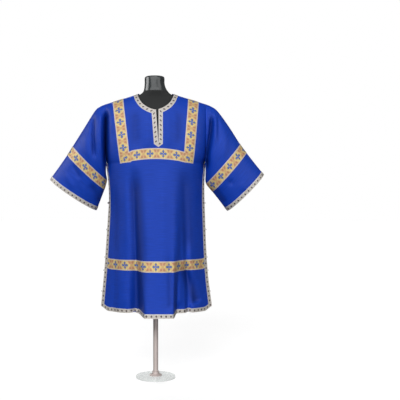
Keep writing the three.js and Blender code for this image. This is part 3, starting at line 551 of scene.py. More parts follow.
def mark_rim_sharp(piece, faces, count):
    """Keeps the shell's edges crisp."""
    piece.data.edges.foreach_set("use_edge_sharp", [False] * len(piece.data.edges))
    a = faces.ravel()
    b = np.roll(faces, -1, axis=1).ravel()
    known = set((a * count + b).tolist())
    edges = {(min(p, q), max(p, q)) for p, q in zip(a.tolist(), b.tolist()) if (q * count + p) not in known}
    ends = np.zeros(len(piece.data.edges) * 2, int)
    piece.data.edges.foreach_get("vertices", ends)
    sharp = [tuple(sorted((int(p) % count, int(q) % count))) in edges and (p < count) == (q < count)
             for p, q in ends.reshape(-1, 2)]
    piece.data.edges.foreach_set("use_edge_sharp", sharp)


def evenly(points, cell):
    """Fractional places along a line of points that are about one cell apart."""
    length = np.concatenate([[0], np.cumsum(np.linalg.norm(np.diff(points, axis=0), axis=1))])
    count = max(1, round(length[-1] / cell))
    return np.interp(np.linspace(0, length[-1], count + 1), length, np.arange(len(points)))


def between(values, places):
    """Values of a list at fractional places."""
    return np.interp(places, np.arange(len(values)), values)


# ---- woven patterns -------------------------------------------------------------------------------

# A quarter of each repeat. A row is one line of cells from the middle of the galloon to its edge, and it runs
# from the centre of the cross or dot to halfway to the next one.
THREADS = {
    "n": (62, 82, 156),
    "b": (84, 112, 190),
    "w": (200, 208, 228),
    "k": (132, 118, 104),
    "y": (230, 208, 142),
    "g": (212, 180, 114),
    "o": (172, 138, 92),
    "p": (214, 172, 134),
    "r": (200, 144, 108),
    "c": (216, 204, 184),
    "e": (208, 194, 188),
    "s": (192, 186, 178),
    "d": (128, 116, 114),
    "m": (74, 64, 66),
    "l": (216, 211, 205),
}
GOLD_CHART = [
    "wbbbbbbkygyyggg",
    "bbnkbbbkygyypgg",
    "bnyykkkyygypppg",
    "bkygyyyygyprrpp",
    "bbkyggyyyprrrrp",
    "bbkyygygyprrrrp",
    "bbkyyygyprroorp",
    "kkyyygyyprroorp",
    "ygyyygypprrrppp",
    "ggyyyggpppppggg",
    "ccccccccccccccc",
    "eeeeeeeeeeeeeee",
]
SILVER_CHART = [
    "mmdlss",
    "mdslsl",
    "dslsls",
    "lslsss",
    "llllll",
]
GOLD_CELL = BAND_WIDTH / (2 * len(GOLD_CHART))
SILVER_CELL = TRIM_WIDTH / (2 * len(SILVER_CHART))
YOKE_FIRST_CROSS = 34  # cells from the yoke's foot to the lowest cross on its uprights
YOKE_CROSSBAR_CROSS = 14  # cells from the centre line to the first cross on its crossbar


def woven(chart, along, across):
    """Thread colours at whole numbers of cells along from a cross or dot, and across from one edge."""
    half = len(chart[0]) - 1
    repeat = 2 * half + 1
    beyond = np.mod(along, repeat)
    k = np.minimum(beyond, repeat - beyond).astype(int)
    middle = len(chart) - 0.5
    r = (np.abs(across - middle) - 0.5).astype(int)
    threads = np.array([[linear(THREADS[letter]) for letter in line] for line in chart])
    return threads[np.clip(r, 0, len(chart) - 1), k]


def add_strip(name, surface, rows, columns, colours, flip, chart):
    """A galloon on the cloth, through a grid of rows and columns whose first axis runs along it."""
    lift = CLOTH + GALLOON_LIFT
    outer = surface.place(rows, columns, lift + GALLOON)
    inner = surface.place(rows, columns, lift)
    return strip_from_points(name, outer, inner, colours, flip, chart)


def strip_from_points(name, outer, inner, colours, flip, chart):
    n, m = outer.shape[:2]
    cell = GOLD_CELL if chart is GOLD_CHART else SILVER_CELL
    along, across = np.meshgrid(np.arange(n) * cell, np.arange(m) * cell, indexing="ij")
    uv = np.stack([along, across], axis=2).reshape(-1, 2)
    back = linear(THREADS["o" if chart is GOLD_CHART else "s"])
    faces = grid_faces(n, m)
    return add_shell(name, outer.reshape(-1, 3), inner.reshape(-1, 3), faces, uv, flip, colours, back)


def join(name, pieces):
    """One object from several."""
    bpy.ops.object.select_all(action="DESELECT")
    for piece in pieces:
        piece.select_set(True)
    bpy.context.view_layer.objects.active = pieces[0]
    bpy.ops.object.join()
    pieces[0].name = name
    pieces[0].data.name = name
    return pieces[0]


def framed_strips(name, surface, chart, inside, outside, top, band_top, band_low, first, centre_first, flip):
    """Two uprights joined by a crossbar at their feet, mitred at the corners. The uprights lie between the
    columns inside and outside and run from the row top to the crossbar's foot."""
    width = 2 * len(chart)
    cell = GOLD_CELL if chart is GOLD_CHART else SILVER_CELL
    pieces = []
    middle_row = (band_top + band_low) / 2
    fine = np.linspace(-inside, inside, LINE_SAMPLES)
    places = evenly(surface.place(np.full(LINE_SAMPLES, middle_row), fine), cell)
    bar_columns = between(fine, places)
    bar_cells = len(bar_columns) - 1
    half_bar = bar_cells // 2
    rows = np.linspace(band_low, band_top, width + 1)
    grid_rows, grid_columns = np.meshgrid(rows, bar_columns, indexing="xy")
    i, j = np.meshgrid(np.arange(bar_cells), np.arange(width), indexing="ij")
    colours = woven(chart, i - half_bar - centre_first, j).reshape(-1, 3)
    pieces.append(add_strip(name + "_bar", surface, grid_rows, grid_columns, colours, flip, chart))

    for sign in (-1, 1):
        fine = np.linspace(band_top, top, LINE_SAMPLES)
        middle_column = sign * (inside + outside) / 2
        places = evenly(surface.place(fine, np.full(LINE_SAMPLES, middle_column)), cell)
        up_rows = np.concatenate([rows[:-1], between(fine, places)])
        up_cells = len(up_rows) - 1
        columns = sign * np.linspace(outside, inside, width + 1)
        grid_columns, grid_rows = np.meshgrid(columns, up_rows, indexing="xy")
        i, j = np.meshgrid(np.arange(up_cells), np.arange(width), indexing="ij")
        upright = woven(chart, i - first, j)
        past_bar = width - 1 - j
        along = np.where(sign > 0, bar_cells - half_bar + past_bar, -half_bar - 1 - past_bar)
        corner = woven(chart, along - centre_first, i)
        colours = np.where((i <= j)[..., None], corner, upright).reshape(-1, 3)
        turned = flip if sign > 0 else not flip
        pieces.append(add_strip(f"{name}_{sign}", surface, grid_rows, grid_columns, colours, turned, chart))
    return join(name, pieces)


# ---- the body panels ------------------------------------------------------------------------------

PANEL_CELL = 7.0
PANEL_WEAVE = 26.0  # cloth in a column, for the weave's coordinates
SLEEVE_WEAVE = (110.0, 60.0)  # cloth in a radian round the sleeve and in a ring along it
SLIT_TOP = SLIT["low"] + 160  # the neck outline above this height is cut out, and the slit below it is parted
SLIT_REACH = 70.0  # how far from the slit its lean dies out
RAY_START = 400.0  # distance of a ray's start, outside all the cloth
LINE_SAMPLES = 600  # places along a crossbar or an upright that are measured
ROUND_SAMPLES = 900  # places along a hem band or round a sleeve


def neck_curve(facing, offset, share):
    """Points of the left half of the neck cut at shares from the shoulder to the centre, moved out."""
    bend, low = (np.array(p, float) for p in NECK_CURVE[facing])
    start = np.array([NECK_HALF, NECK_START])
    s = np.asarray(share)[:, None]
    point = (1 - s) ** 2 * start + 2 * s * (1 - s) * bend + s * s * low
    along = 2 * (1 - s) * (bend - start) + 2 * s * (low - bend)
    along /= np.linalg.norm(along, axis=1, keepdims=True)
    return point + offset * np.stack([-along[:, 1], along[:, 0]], axis=1)


def neck_half(facing, offset, side):
    """Half the neck's outline from above the shoulder to its end at the centre or at the slit's foot."""
    line = neck_curve(facing, offset, np.linspace(0, 1, 161))
    line = np.concatenate([[(line[0, 0], NECK_TOP)], line])
    if facing == BACK:
        kept = line[line[:, 0] >= 0]
        if kept[-1, 0] > 0:
            kept = np.concatenate([kept, [(0, kept[-1, 1])]])
        return kept * (side, 1)
    low = SLIT["low"] - offset * SLIT["shoulder"]
    foot = SLIT["low"] - offset * SLIT["tip"] - 0.5
    middle = (SLIT["left"] + SLIT["right_low"]) / 2
    if side > 0:
        top_x = SLIT["left"] + offset
        low_x = SLIT["left"] + offset
    else:
        top_x = offset - SLIT["right_top"]
        low_x = offset - SLIT["right_low"]
    kept = line[line[:, 0] > top_x]
    corner = (top_x, float(np.interp(-top_x, -line[:, 0], line[:, 1])))
    line = np.concatenate([kept, [corner, (low_x, low), (side * middle, foot)]])
    return line * (side, 1)


def inside(outline, x, z):
    """Which of the places lie inside a closed outline."""
    found = np.zeros(x.shape, bool)
    ends = np.roll(outline, -1, axis=0)
    for (x0, z0), (x1, z1) in zip(outline, ends):
        if z0 == z1:
            continue
        crosses = (z0 > z) != (z1 > z)
        found ^= crosses & (x < (x1 - x0) * (z - z0) / (z1 - z0) + x0)
    return found


def nearest_on(outline, points):
    """The outline's closest places to some points."""
    best = np.full(len(points), 1e9)
    found = points.copy()
    ends = np.roll(outline, -1, axis=0)
    for start, end in zip(outline, ends):
        span = end - start
        size = span @ span
        if size == 0:
            continue
        t = np.clip(((points - start) @ span) / size, 0, 1)
        at = start + t[:, None] * span
        away = np.linalg.norm(points - at, axis=1)
        closer = away < best
        best = np.where(closer, away, best)
        found[closer] = at[closer]
    return found


def panel_rows(surface):
    fine = np.concatenate([np.linspace(0, SHOULDER_TURN, 200)[:-1], np.linspace(SHOULDER_TURN, 1, 800)])
    line = surface.place(fine, np.full(len(fine), float(YOKE_OUTSIDE)))
    rows = between(fine, evenly(line, PANEL_CELL))
    rows[-1] = 1 - TUCK / CENTRE_FALL
    return rows


def panel_columns(surface):
    """Columns about one cell apart where the panel is widest, with one at the slit."""
    hem_line = surface.place(np.full(EDGE + 1, 1.0), np.arange(EDGE + 1.0))
    widths = np.linalg.norm(np.diff(hem_line, axis=0), axis=1)
    half = [0.0]
    for k, width in enumerate(widths):
        count = math.ceil(width / PANEL_CELL)
        half.extend(k + (i + 1) / count for i in range(count))
    return np.array([-c for c in half[:0:-1]] + half)


def add_panel(facing, surface):
    """A panel's satin, with its neck cut out and, in front, its chest slit."""
    rows = panel_rows(surface)
    columns = panel_columns(surface)
    slit_x = (SLIT["left"] + SLIT["right_low"]) / 2
    if facing == FRONT:
        slit_column = slit_x / CENTRE_COLUMNS[1]
        k = int(np.argmin(np.abs(columns - slit_column)))
        columns[k] = slit_column
    grid_columns, grid_rows = np.meshgrid(columns, rows)
    outer = surface.place(grid_rows, grid_columns, CLOTH)
    inner = surface.place(grid_rows, grid_columns, CLOTH - SHELL)
    n, m = grid_rows.shape
    faces = grid_faces(n, m)
    outline = np.concatenate([neck_half(facing, 0.0, 1), neck_half(facing, 0.0, -1)[::-1]])
    x = outer[..., 0].ravel()
    z = outer[..., 2].ravel()
    centre_x = x[faces].mean(axis=1)
    centre_z = z[faces].mean(axis=1)
    cut = inside(outline[outline[:, 1] > SLIT_TOP], centre_x, centre_z)
    outer = outer.reshape(-1, 3)
    inner = inner.reshape(-1, 3)
    on_border = np.intersect1d(np.unique(faces[cut]), np.unique(faces[~cut]))
    goal = nearest_on(outline, outer[on_border][:, [0, 2]])
    tree = surface_tree(surface)
    for vertex, (gx, gz) in zip(on_border, goal):
        hit = cast(tree, facing, gx, min(gz, float(shoulder_height(gx)) - 0.4))
        if hit is None:
            continue
        place, normal = hit
        outer[vertex] = place + normal * CLOTH
        inner[vertex] = place + normal * (CLOTH - SHELL)
    faces = faces[~cut]
    # depth in the folds, which darkens the satin as painted shade
    folds = surface.fold_shade_depth(grid_rows, grid_columns)
    uv = np.stack([grid_columns * PANEL_WEAVE, grid_rows * CENTRE_FALL, folds], axis=2).reshape(-1, 3)
    if facing == FRONT:
        outer, inner, faces, uv = open_slit(outer, inner, faces, uv, m, k)
    used, faces = np.unique(faces, return_inverse=True)
    faces = faces.reshape(-1, 4)
    name = FACE_WORDS[facing] + "_cloth"
    return add_shell(name, outer[used], inner[used], faces, uv[used], facing == FRONT)


def open_slit(outer, inner, faces, uv, columns, k):
    """Parts the cloth along one column, above the slit's foot, and leans the two sides apart."""
    column = np.arange(k, len(outer), columns)
    parted = column[outer[column, 2] > SLIT["low"]]
    copies = np.arange(len(parted)) + len(outer)
    right_faces = faces[:, 0] % columns < k
    swap = dict(zip(parted.tolist(), copies.tolist()))
    outer = np.concatenate([outer, outer[parted]])
    inner = np.concatenate([inner, inner[parted]])
    uv = np.concatenate([uv, uv[parted]])
    on_left = faces[~right_faces]
    faces[~right_faces] = np.vectorize(lambda v: swap.get(v, v))(on_left)
    height = (outer[:, 2] - SLIT["low"]) / (NECK_CURVE[FRONT][1][1] - SLIT["low"])
    seam = (SLIT["left"] + SLIT["right_low"]) / 2
    right_side = np.zeros(len(outer), bool)
    right_side[np.unique(faces[right_faces])] = True
    lean = mix(SLIT["right_low"], SLIT["right_top"], np.clip(height, 0, 1)) - seam
    pull_right = lean * smooth(1 - (seam - outer[:, 0]) / SLIT_REACH) * (height > 0)
    pull_left = (SLIT["left"] - seam) * smooth(1 - (outer[:, 0] - seam) / SLIT_REACH) * (height > 0)
    shift = np.where(right_side, pull_right, pull_left)
    for points in (outer, inner):
        points[:, 0] += shift
    return outer, inner, faces, uv


def surface_tree(surface):
    """The upper middle of a panel, to cast level rays on."""
    rows = surface.rows < YOKE_LOW + 0.02
    columns = np.abs(surface.columns) < YOKE_INSIDE + 0.5
    grid = surface.points[rows][:, columns]
    faces = grid_faces(*grid.shape[:2])
    return BVHTree.FromPolygons(grid.reshape(-1, 3).tolist(), faces.tolist())


def cast(tree, facing, x, z):
    """The cloth's point and outward normal at (x, z)."""
    place, normal, _, _ = tree.ray_cast(Vector((x, facing * RAY_START, z)), Vector((0, -facing, 0)))
    if place is None:
        return None
    out = np.array(normal) * (1 if normal.y * facing > 0 else -1)
    return np.array(place), out


# ---- neck trims -----------------------------------------------------------------------------------

NECK_STEPS = 500


def neck_lines(facing, surface, side):
    """A grid over the trim: from the shoulder along the neck cut, and from its inner edge outward."""
    tree = surface_tree(surface)
    cells = 2 * len(SILVER_CHART)
    places = np.zeros((NECK_STEPS, cells + 1, 3))
    normals = np.zeros_like(places)
    for j in range(cells + 1):
        offset = mix(GAP, TRIM_WIDTH - GAP, j / cells)
        line = neck_half(facing, offset, side)
        below = line[:, 1] < shoulder_height(line[:, 0]) - 0.3
        line = line[below]
        knots = trim_knots(facing, line)
        share = np.linspace(0, 1, NECK_STEPS) ** 1.5 * (len(knots) - 1)
        for i, (x, z) in enumerate(zip(between(knots[:, 0], share), between(knots[:, 1], share))):
            hit = cast(tree, facing, x, z)
            places[i, j], normals[i, j] = hit if hit is not None else (places[i - 1, j], normals[i - 1, j])
    return places, normals


def trim_knots(facing, line):
    """The line again with as many points in each of its stretches, whatever its offset."""
    stretches = [line] if facing == BACK else [line[:-2], line[-3:-1], line[-2:]]
    counts = [160] if facing == BACK else [100, 90, 12]
    parts = []
    for stretch, count in zip(stretches, counts):
        length = np.concatenate([[0], np.cumsum(np.linalg.norm(np.diff(stretch, axis=0), axis=1))])
        wanted = np.linspace(0, length[-1], count + 1)[(1 if parts else 0):]
        parts.append(np.stack([np.interp(wanted, length, stretch[:, k]) for k in (0, 1)], axis=1))
    return np.concatenate(parts)


def add_neck_trim(facing, surface):
    pieces = []
    for side in (-1, 1):
        places, normals = neck_lines(facing, surface, side)
        even = evenly(places[:, places.shape[1] // 2], SILVER_CELL)
        low = np.minimum(even.astype(int), NECK_STEPS - 2)
        part = (even - low)[:, None, None]
        points = mix(places[low], places[low + 1], part)
        out = mix(normals[low], normals[low + 1], part)
        out /= np.linalg.norm(out, axis=2, keepdims=True)
        lift = CLOTH + GALLOON_LIFT
        i, j = np.meshgrid(np.arange(len(even) - 1), np.arange(points.shape[1] - 1), indexing="ij")
        colours = woven(SILVER_CHART, i - 3, j).reshape(-1, 3)
        flip = (side * facing) < 0
        name = f"neck_{facing}_{side}"
        strip = strip_from_points(
            name, points + out * (lift + GALLOON), points + out * lift, colours, flip, SILVER_CHART
        )
        pieces.append(strip)
    return join(f"neck_galloon_{FACE_WORDS[facing]}", pieces)


# ---- the cross on the back ------------------------------------------------------------------------

CROSS_CENTRE = (0.0, 1332.0)
# Half outline of one arm, across and along, from the boss to the tip.
CROSS_ARM = [
    (15, 15),
    (7, 20),
    (6.5, 34),
    (12, 46),
    (21, 50),
    (28, 55),
    (28, 61),
    (20, 66),
    (14, 68),
    (12, 76),
    (6, 81),
]
CROSS_CELL = 1.8
CROSS_CORD = 4.4  # width of the cord round it
CROSS_BOSS = 16.0
CROSS_REACH = 84.0  # just past the tip of an arm
CROSS_WALL = 1.1  # thickness at its edge
CROSS_RISE = 0.5  # how much thicker it is inside the cord
CORD_RISE = 1.2  # how far the cord stands up
FLARE_START = 44.0  # along an arm, where the flared end begins
FLARE_KNOT = 60.0  # middle of the rose knot on the flared end
CROSS_THREADS = {
    "cord": (226, 222, 216),
    "shade": (150, 134, 120),
    "gold": (206, 172, 112),
    "deep_gold": (166, 126, 78),
    "rose": (196, 140, 116),
    "ring": (120, 84, 60),
}


def cross_outline():
    """The cross's outline with its corners rounded off."""
    arm = np.array(CROSS_ARM, float)
    arm = np.concatenate([arm, arm[:0:-1] * (-1, 1)])
    turned = []
    for k in range(4):
        c, s = math.cos(k * math.pi / 2), math.sin(k * math.pi / 2)
        turned.append(arm @ np.array([[c, s], [-s, c]]))
    line = np.concatenate(turned)
    for _ in range(2):
        following = np.roll(line, -1, axis=0)
        line = np.stack([mix(line, following, 0.25), mix(line, following, 0.75)], axis=1).reshape(-1, 2)
    return line


def cross_colour(x, z, depth):
    """Thread colours at places from the cross's centre, depth inside its outline."""
    radius = np.hypot(x, z)
    along = np.maximum(np.abs(x), np.abs(z))
    across = np.minimum(np.abs(x), np.abs(z))
    stitch = np.mod(along + across, 7.2) < 2.4
    name = np.where(stitch, "deep_gold", "gold")
    from_knot = np.where(along > FLARE_START, np.hypot(along - FLARE_KNOT, across), CROSS_REACH)
    name = np.where(from_knot < 11, "rose", name)
    name = np.where(from_knot < 5, "deep_gold", name)
    name = np.where(radius < CROSS_BOSS, "ring", name)
    name = np.where(radius < CROSS_BOSS - 4, "rose", name)
    name = np.where(radius < CROSS_BOSS - 8, "gold", name)
    name = np.where(depth < CROSS_CORD + 1.6, "shade", name)
    name = np.where(depth < CROSS_CORD, "cord", name)
    return np.array([linear(CROSS_THREADS[n]) for n in name])


def add_cross(surface):
    """The embroidered cross as a closed thin shell on the back, with a raised cord round it."""
    outline = cross_outline()
    reach = math.ceil(CROSS_REACH / CROSS_CELL)
    line = np.arange(-reach, reach + 1) * CROSS_CELL
    z, x = (grid.ravel() for grid in np.meshgrid(line[::-1], line, indexing="ij"))
    faces = grid_faces(len(line), len(line))
    kept = inside(outline, x[faces].mean(axis=1), z[faces].mean(axis=1))
    border = np.intersect1d(np.unique(faces[kept]), np.unique(faces[~kept]))
    flat = np.stack([x, z], axis=1)
    flat[border] = nearest_on(outline, flat[border])
    used, faces = np.unique(faces[kept], return_inverse=True)
    faces = faces.reshape(-1, 4)
    flat = flat[used]
    depth = np.linalg.norm(flat - nearest_on(outline, flat), axis=1)
    across_cord = np.clip(depth / CROSS_CORD, 0, 1) * 2 - 1
    cord = np.where(depth < CROSS_CORD, CORD_RISE * np.sqrt(1 - across_cord**2), 0.0)
    height = CROSS_WALL + cord + CROSS_RISE * smooth((depth - CROSS_CORD) / 3)
    tree = surface_tree(surface)
    hits = [cast(tree, BACK, CROSS_CENTRE[0] + px, CROSS_CENTRE[1] + pz) for px, pz in flat]
    places = np.array([hit[0] for hit in hits])
    normals = np.array([hit[1] for hit in hits])
    lift = CLOTH + GAP
    middle = flat[faces].mean(axis=1)
    middle_depth = np.linalg.norm(middle - nearest_on(outline, middle), axis=1)
    colours = cross_colour(middle[:, 0], middle[:, 1], middle_depth)
    outer = places + normals * (lift + height)[:, None]
    inner = places + normals * lift
    back = linear(CROSS_THREADS["shade"])
    return add_shell("cross_on_back", outer, inner, faces, flat, False, colours, back)


# ---- materials ------------------------------------------------------------------------------------


SATIN = (4, 61, 178)
PAINTED_FOLD_SHADE = 0.16  # painted shade in folds: share of the satin's colour that is left in the deepest fold


def new_material(name, colour, roughness, metallic=0.0, specular=0.5):
    material = bpy.data.materials.new(name)
    material.use_nodes = True
    shader = material.node_tree.nodes["Principled BSDF"]
    shader.inputs["Base Color"].default_value = (*linear(colour), 1)
    shader.inputs["Roughness"].default_value = roughness
    shader.inputs["Metallic"].default_value = metallic
    shader.inputs["Specular IOR Level"].default_value = specular
    return material, material.node_tree, shader


def add_weave(tree, shader, period, strength):
    """Fine crossing threads as bump, from the UV in metres."""
    coordinates = tree.nodes.new("ShaderNodeTexCoord")
    bump = tree.nodes.new("ShaderNodeBump")
    bump.inputs["Strength"].default_value = strength
    bump.inputs["Distance"].default_value = period * MM * 0.3
    add = tree.nodes.new("ShaderNodeMath")
    add.operation = "ADD"
    for k, direction in enumerate(("X", "Y")):
        wave = tree.nodes.new("ShaderNodeTexWave")
        wave.bands_direction = direction
        wave.inputs["Scale"].default_value = math.pi / (10 * period * MM)
        tree.links.new(coordinates.outputs["UV"], wave.inputs["Vector"])
        tree.links.new(wave.outputs["Fac"], add.inputs[k])
    tree.links.new(add.outputs[0], bump.inputs["Height"])
    tree.links.new(bump.outputs["Normal"], shader.inputs["Normal"])


def satin_material():
    """Blue satin with slubs along its width, a little lighter and darker than the rest, and with painted
    shade darkening its colour in the deep folds.
    """
    material, tree, shader = new_material("satin", SATIN, 0.52, specular=0.3)
    coordinates = tree.nodes.new("ShaderNodeTexCoord")
    stretch = tree.nodes.new("ShaderNodeMapping")
    stretch.inputs["Scale"].default_value = (18, 420, 1)
    slubs = tree.nodes.new("ShaderNodeTexNoise")
    slubs.inputs["Scale"].default_value = 1.0
    slubs.inputs["Detail"].default_value = 3.0
    ramp = tree.nodes.new("ShaderNodeValToRGB")
    ramp.color_ramp.elements[0].position = 0.3
    ramp.color_ramp.elements[0].color = (*linear(SATIN) * 0.86, 1)
    ramp.color_ramp.elements[1].position = 0.7
    ramp.color_ramp.elements[1].color = (*linear(SATIN) * 1.14, 1)
    tree.links.new(coordinates.outputs["UV"], stretch.inputs["Vector"])
    tree.links.new(stretch.outputs["Vector"], slubs.inputs["Vector"])
    tree.links.new(slubs.outputs["Fac"], ramp.inputs["Fac"])
    # painted shade: the satin's colour darkens with the depth of the fold
    fold = tree.nodes.new("ShaderNodeAttribute")
    fold.attribute_name = "FoldShade"
    shade = tree.nodes.new("ShaderNodeMix")
    shade.data_type = "RGBA"
    shade.blend_type = "MIX"
    shade.inputs["B"].default_value = (*linear(SATIN) * PAINTED_FOLD_SHADE, 1)
    tree.links.new(fold.outputs["Fac"], shade.inputs["Factor"])
    tree.links.new(ramp.outputs["Color"], shade.inputs["A"])
    tree.links.new(shade.outputs["Result"], shader.inputs["Base Color"])
    add_weave(tree, shader, 1.4, 0.14)
    return material


def thread_material(name, roughness, metallic):
    """Woven threads that take their colour from the mesh."""
    material, tree, shader = new_material(name, (200, 180, 140), roughness, metallic)
    colour = tree.nodes.new("ShaderNodeVertexColor")
    colour.layer_name = "Thread"
    tree.links.new(colour.outputs["Color"], shader.inputs["Base Color"])
    add_weave(tree, shader, 1.2, 0.3)
    return material


def glass_material():
    material, _, shader = new_material("base_glass", (226, 238, 234), 0.04)
    shader.inputs["Alpha"].default_value = 0.3
    return material


def paint(piece, material):
    piece.data.materials.clear()
    piece.data.materials.append(material)


# ---- the dress form -------------------------------------------------------------------------------

FORM_COLUMNS = "at width depth forward side"
TORSO = table(
    FORM_COLUMNS,
    (780, 150, 88, 0, 0),
    (786, 158, 94, 0, 0),
    (860, 172, 104, 0, 0),
    (960, 164, 100, 2, 0),
    (1070, 154, 98, 4, 0),
    (1180, 170, 108, 4, 0),
    (1290, 190, 112, 3, 0),
    (1370, 200, 106, 0, 0),
    (1430, 210, 88, -3, 0),
    (1466, 208, 70, -4, 0),
    (1490, 190, 58, -4, 0),
    (1509, 158, 54, -3, 0),
    (1526, 116, 52, -2, 0),
    (1539, 89, 53, 0, 0),
    (1550, 73, 54, 2, 0),
    (1560, 66, 55, 3, 0),
)
NECK = table(
    FORM_COLUMNS,
    (1560.3, 65, 55, 3, -1),
    (1573, 60, 54, 4, -3),
    (1588, 56, 54, 5, -5),
    (1606, 54, 54, 6, -6),
    (1628, 54, 54, 6, -6),
    (1635, 52, 52, 6, -6),
    (1639, 46, 46, 6, -6),
)
TORSO_SQUARE = 2.3
BASE_RADIUS = 107.0
BASE_THICKNESS = 12.0
BASE_BEVEL = 1.5
POLE_RADIUS = 13.5
FLANGE_RADIUS = 34.0
HUB_RADIUS = 19.0
HUB_TOP = BASE_THICKNESS + GAP + 24.0


def add_loft(name, rings, square, step):
    """A smooth closed body through rings that are rounded rectangles."""
    heights = np.arange(rings[0]["at"], rings[-1]["at"], step)
    heights = np.append(heights, rings[-1]["at"])
    turn = np.linspace(0, math.tau, 96, endpoint=False)
    power = 2 / square
    across = np.sign(np.cos(turn)) * np.abs(np.cos(turn)) ** power
    ahead = np.sign(np.sin(turn)) * np.abs(np.sin(turn)) ** power
    width, depth, forward, side = (curve(rings, c, heights)[:, None] for c in FORM_COLUMNS.split()[1:])
    x = side + width * across
    y = depth * ahead - forward
    z = np.repeat(heights[:, None], len(turn), axis=1)
    points = np.stack([x, y, z], axis=2).reshape(-1, 3)
    count = len(turn)
    faces = []
    for i in range(len(heights) - 1):
        for k in range(count):
            following = (k + 1) % count
            low = i * count
            high = low + count
            faces.append([low + k, low + following, high + following, high + k])
    faces.append(list(range(count))[::-1])
    faces.append([(len(heights) - 1) * count + k for k in range(count)])
    return add_mesh(name, points, faces)


def add_turned(name, outline, sides=96):
    """A body turned about the vertical axis, from radius and height pairs that start and end on the axis."""
    turn = np.linspace(0, math.tau, sides, endpoint=False)
    points = [(0, 0, outline[0][1])]
    for radius, z in outline[1:-1]:
        points.extend((radius * math.cos(t), radius * math.sin(t), z) for t in turn)
    points.append((0, 0, outline[-1][1]))
    last = len(points) - 1
    rings = len(outline) - 2
    faces = []
    for k in range(sides):
        following = (k + 1) % sides
        faces.append([0, 1 + following, 1 + k])
        for i in range(rings - 1):
            a = 1 + i * sides
            faces.append([a + k, a + following, a + sides + following, a + sides + k])
        top = 1 + (rings - 1) * sides
        faces.append([top + k, top + following, last])
    piece = add_mesh(name, points, faces)
    piece.data.set_sharp_from_angle(angle=math.radians(30))
    return piece


def add_form(materials):
    torso = add_loft("torso", TORSO, TORSO_SQUARE, 6.0)
    neck = add_loft("neck", NECK, 2.0, 2.0)
    neck.data.set_sharp_from_angle(angle=math.radians(50))
    rim = [
        (0, 0),
        (BASE_RADIUS - BASE_BEVEL, 0),
        (BASE_RADIUS, BASE_BEVEL),
        (BASE_RADIUS, BASE_THICKNESS - BASE_BEVEL),
        (BASE_RADIUS - BASE_BEVEL, BASE_THICKNESS),
        (0, BASE_THICKNESS),
    ]
    base = add_turned("base", rim)
    foot = BASE_THICKNESS + GAP
    hub = [
        (0, foot),
        (FLANGE_RADIUS, foot),
        (FLANGE_RADIUS, foot + 3.5),
        (FLANGE_RADIUS - 1.5, foot + 5.5),
        (FLANGE_RADIUS - 4, foot + 6.6),
        (HUB_RADIUS + 1, foot + 8),
        (HUB_RADIUS, foot + 9),
        (HUB_RADIUS, HUB_TOP - 1.2),
        (HUB_RADIUS - 1.2, HUB_TOP),
        (0, HUB_TOP),
    ]
    flange = add_turned("flange", hub)
    pole_top = TORSO[0]["at"] - GAP
    pole_foot = HUB_TOP + GAP
    tube = [(0, pole_foot), (POLE_RADIUS, pole_foot), (POLE_RADIUS, pole_top), (0, pole_top)]
    pole = add_turned("pole", tube)
    finish = [
        (torso, "form_torso", "jersey"),
        (neck, "form_neck", "lacquer"),
        (base, "form_base", "base_glass"),
        (flange, "form_flange", "chrome"),
        (pole, "form_pole", "chrome"),
    ]
    for piece, node, slot in finish:
        dress(piece, node, slot, materials)


def dress(piece, nodes, slot, materials):
    """Gives a piece its material and slot, and puts it in the place of CAD nodes."""
    paint(piece, materials[slot])
    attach(piece, "root")
    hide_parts(*([nodes] if isinstance(nodes, str) else nodes))


# ---- sleeves --------------------------------------------------------------------------------------


def add_sleeve(sign, surface):
    length = np.linalg.norm(np.diff(surface.place(np.arange(9.0), np.full(9, 0.0)), axis=0), axis=1).sum()
    rows = np.linspace(0, SLEEVES[sign][-1]["at"], round(length / PANEL_CELL) + 1)
    turns = np.linspace(0, math.tau, 101)
    grid_turns, grid_rows = np.meshgrid(turns, rows)
    outer = surface.place(grid_rows, grid_turns, CLOTH)
    inner = surface.place(grid_rows, grid_turns, CLOTH - SHELL)
    # depth in the folds, which darkens the satin as painted shade
    folds = surface.fold_shade_depth(grid_rows, grid_turns)
    uv = np.stack([grid_turns * SLEEVE_WEAVE[0], grid_rows * SLEEVE_WEAVE[1], folds], axis=2)
    n = len(turns) - 1
    faces = grid_faces(len(rows), n + 1)
    column = faces % (n + 1)
    row = faces // (n + 1)
    wrapped = row * n + column % n
    flat = [grid[:, :-1].reshape(-1, grid.shape[2]) for grid in (outer, inner, uv)]
    return add_shell(f"sleeve_cloth_{SIDE_WORDS[sign]}", flat[0], flat[1], wrapped, flat[2], sign < 0)


def add_sleeve_galloon(name, sign, surface, rings, chart, first):
    cell = GOLD_CELL if chart is GOLD_CHART else SILVER_CELL
    fine = np.linspace(0, math.tau, ROUND_SAMPLES)
    line = surface.place(np.full(ROUND_SAMPLES, (rings[0] + rings[1]) / 2), fine)
    turns = between(fine, evenly(line, cell))
    width = 2 * len(chart)
    rows = np.linspace(rings[0], rings[1], width + 1)
    grid_rows, grid_turns = np.meshgrid(rows, turns)
    i, j = np.meshgrid(np.arange(len(turns) - 1), np.arange(width), indexing="ij")
    colours = woven(chart, i - first, j).reshape(-1, 3)
    return add_strip(name, surface, grid_rows, grid_turns, colours, sign > 0, chart)


# ---- the scene ------------------------------------------------------------------------------------

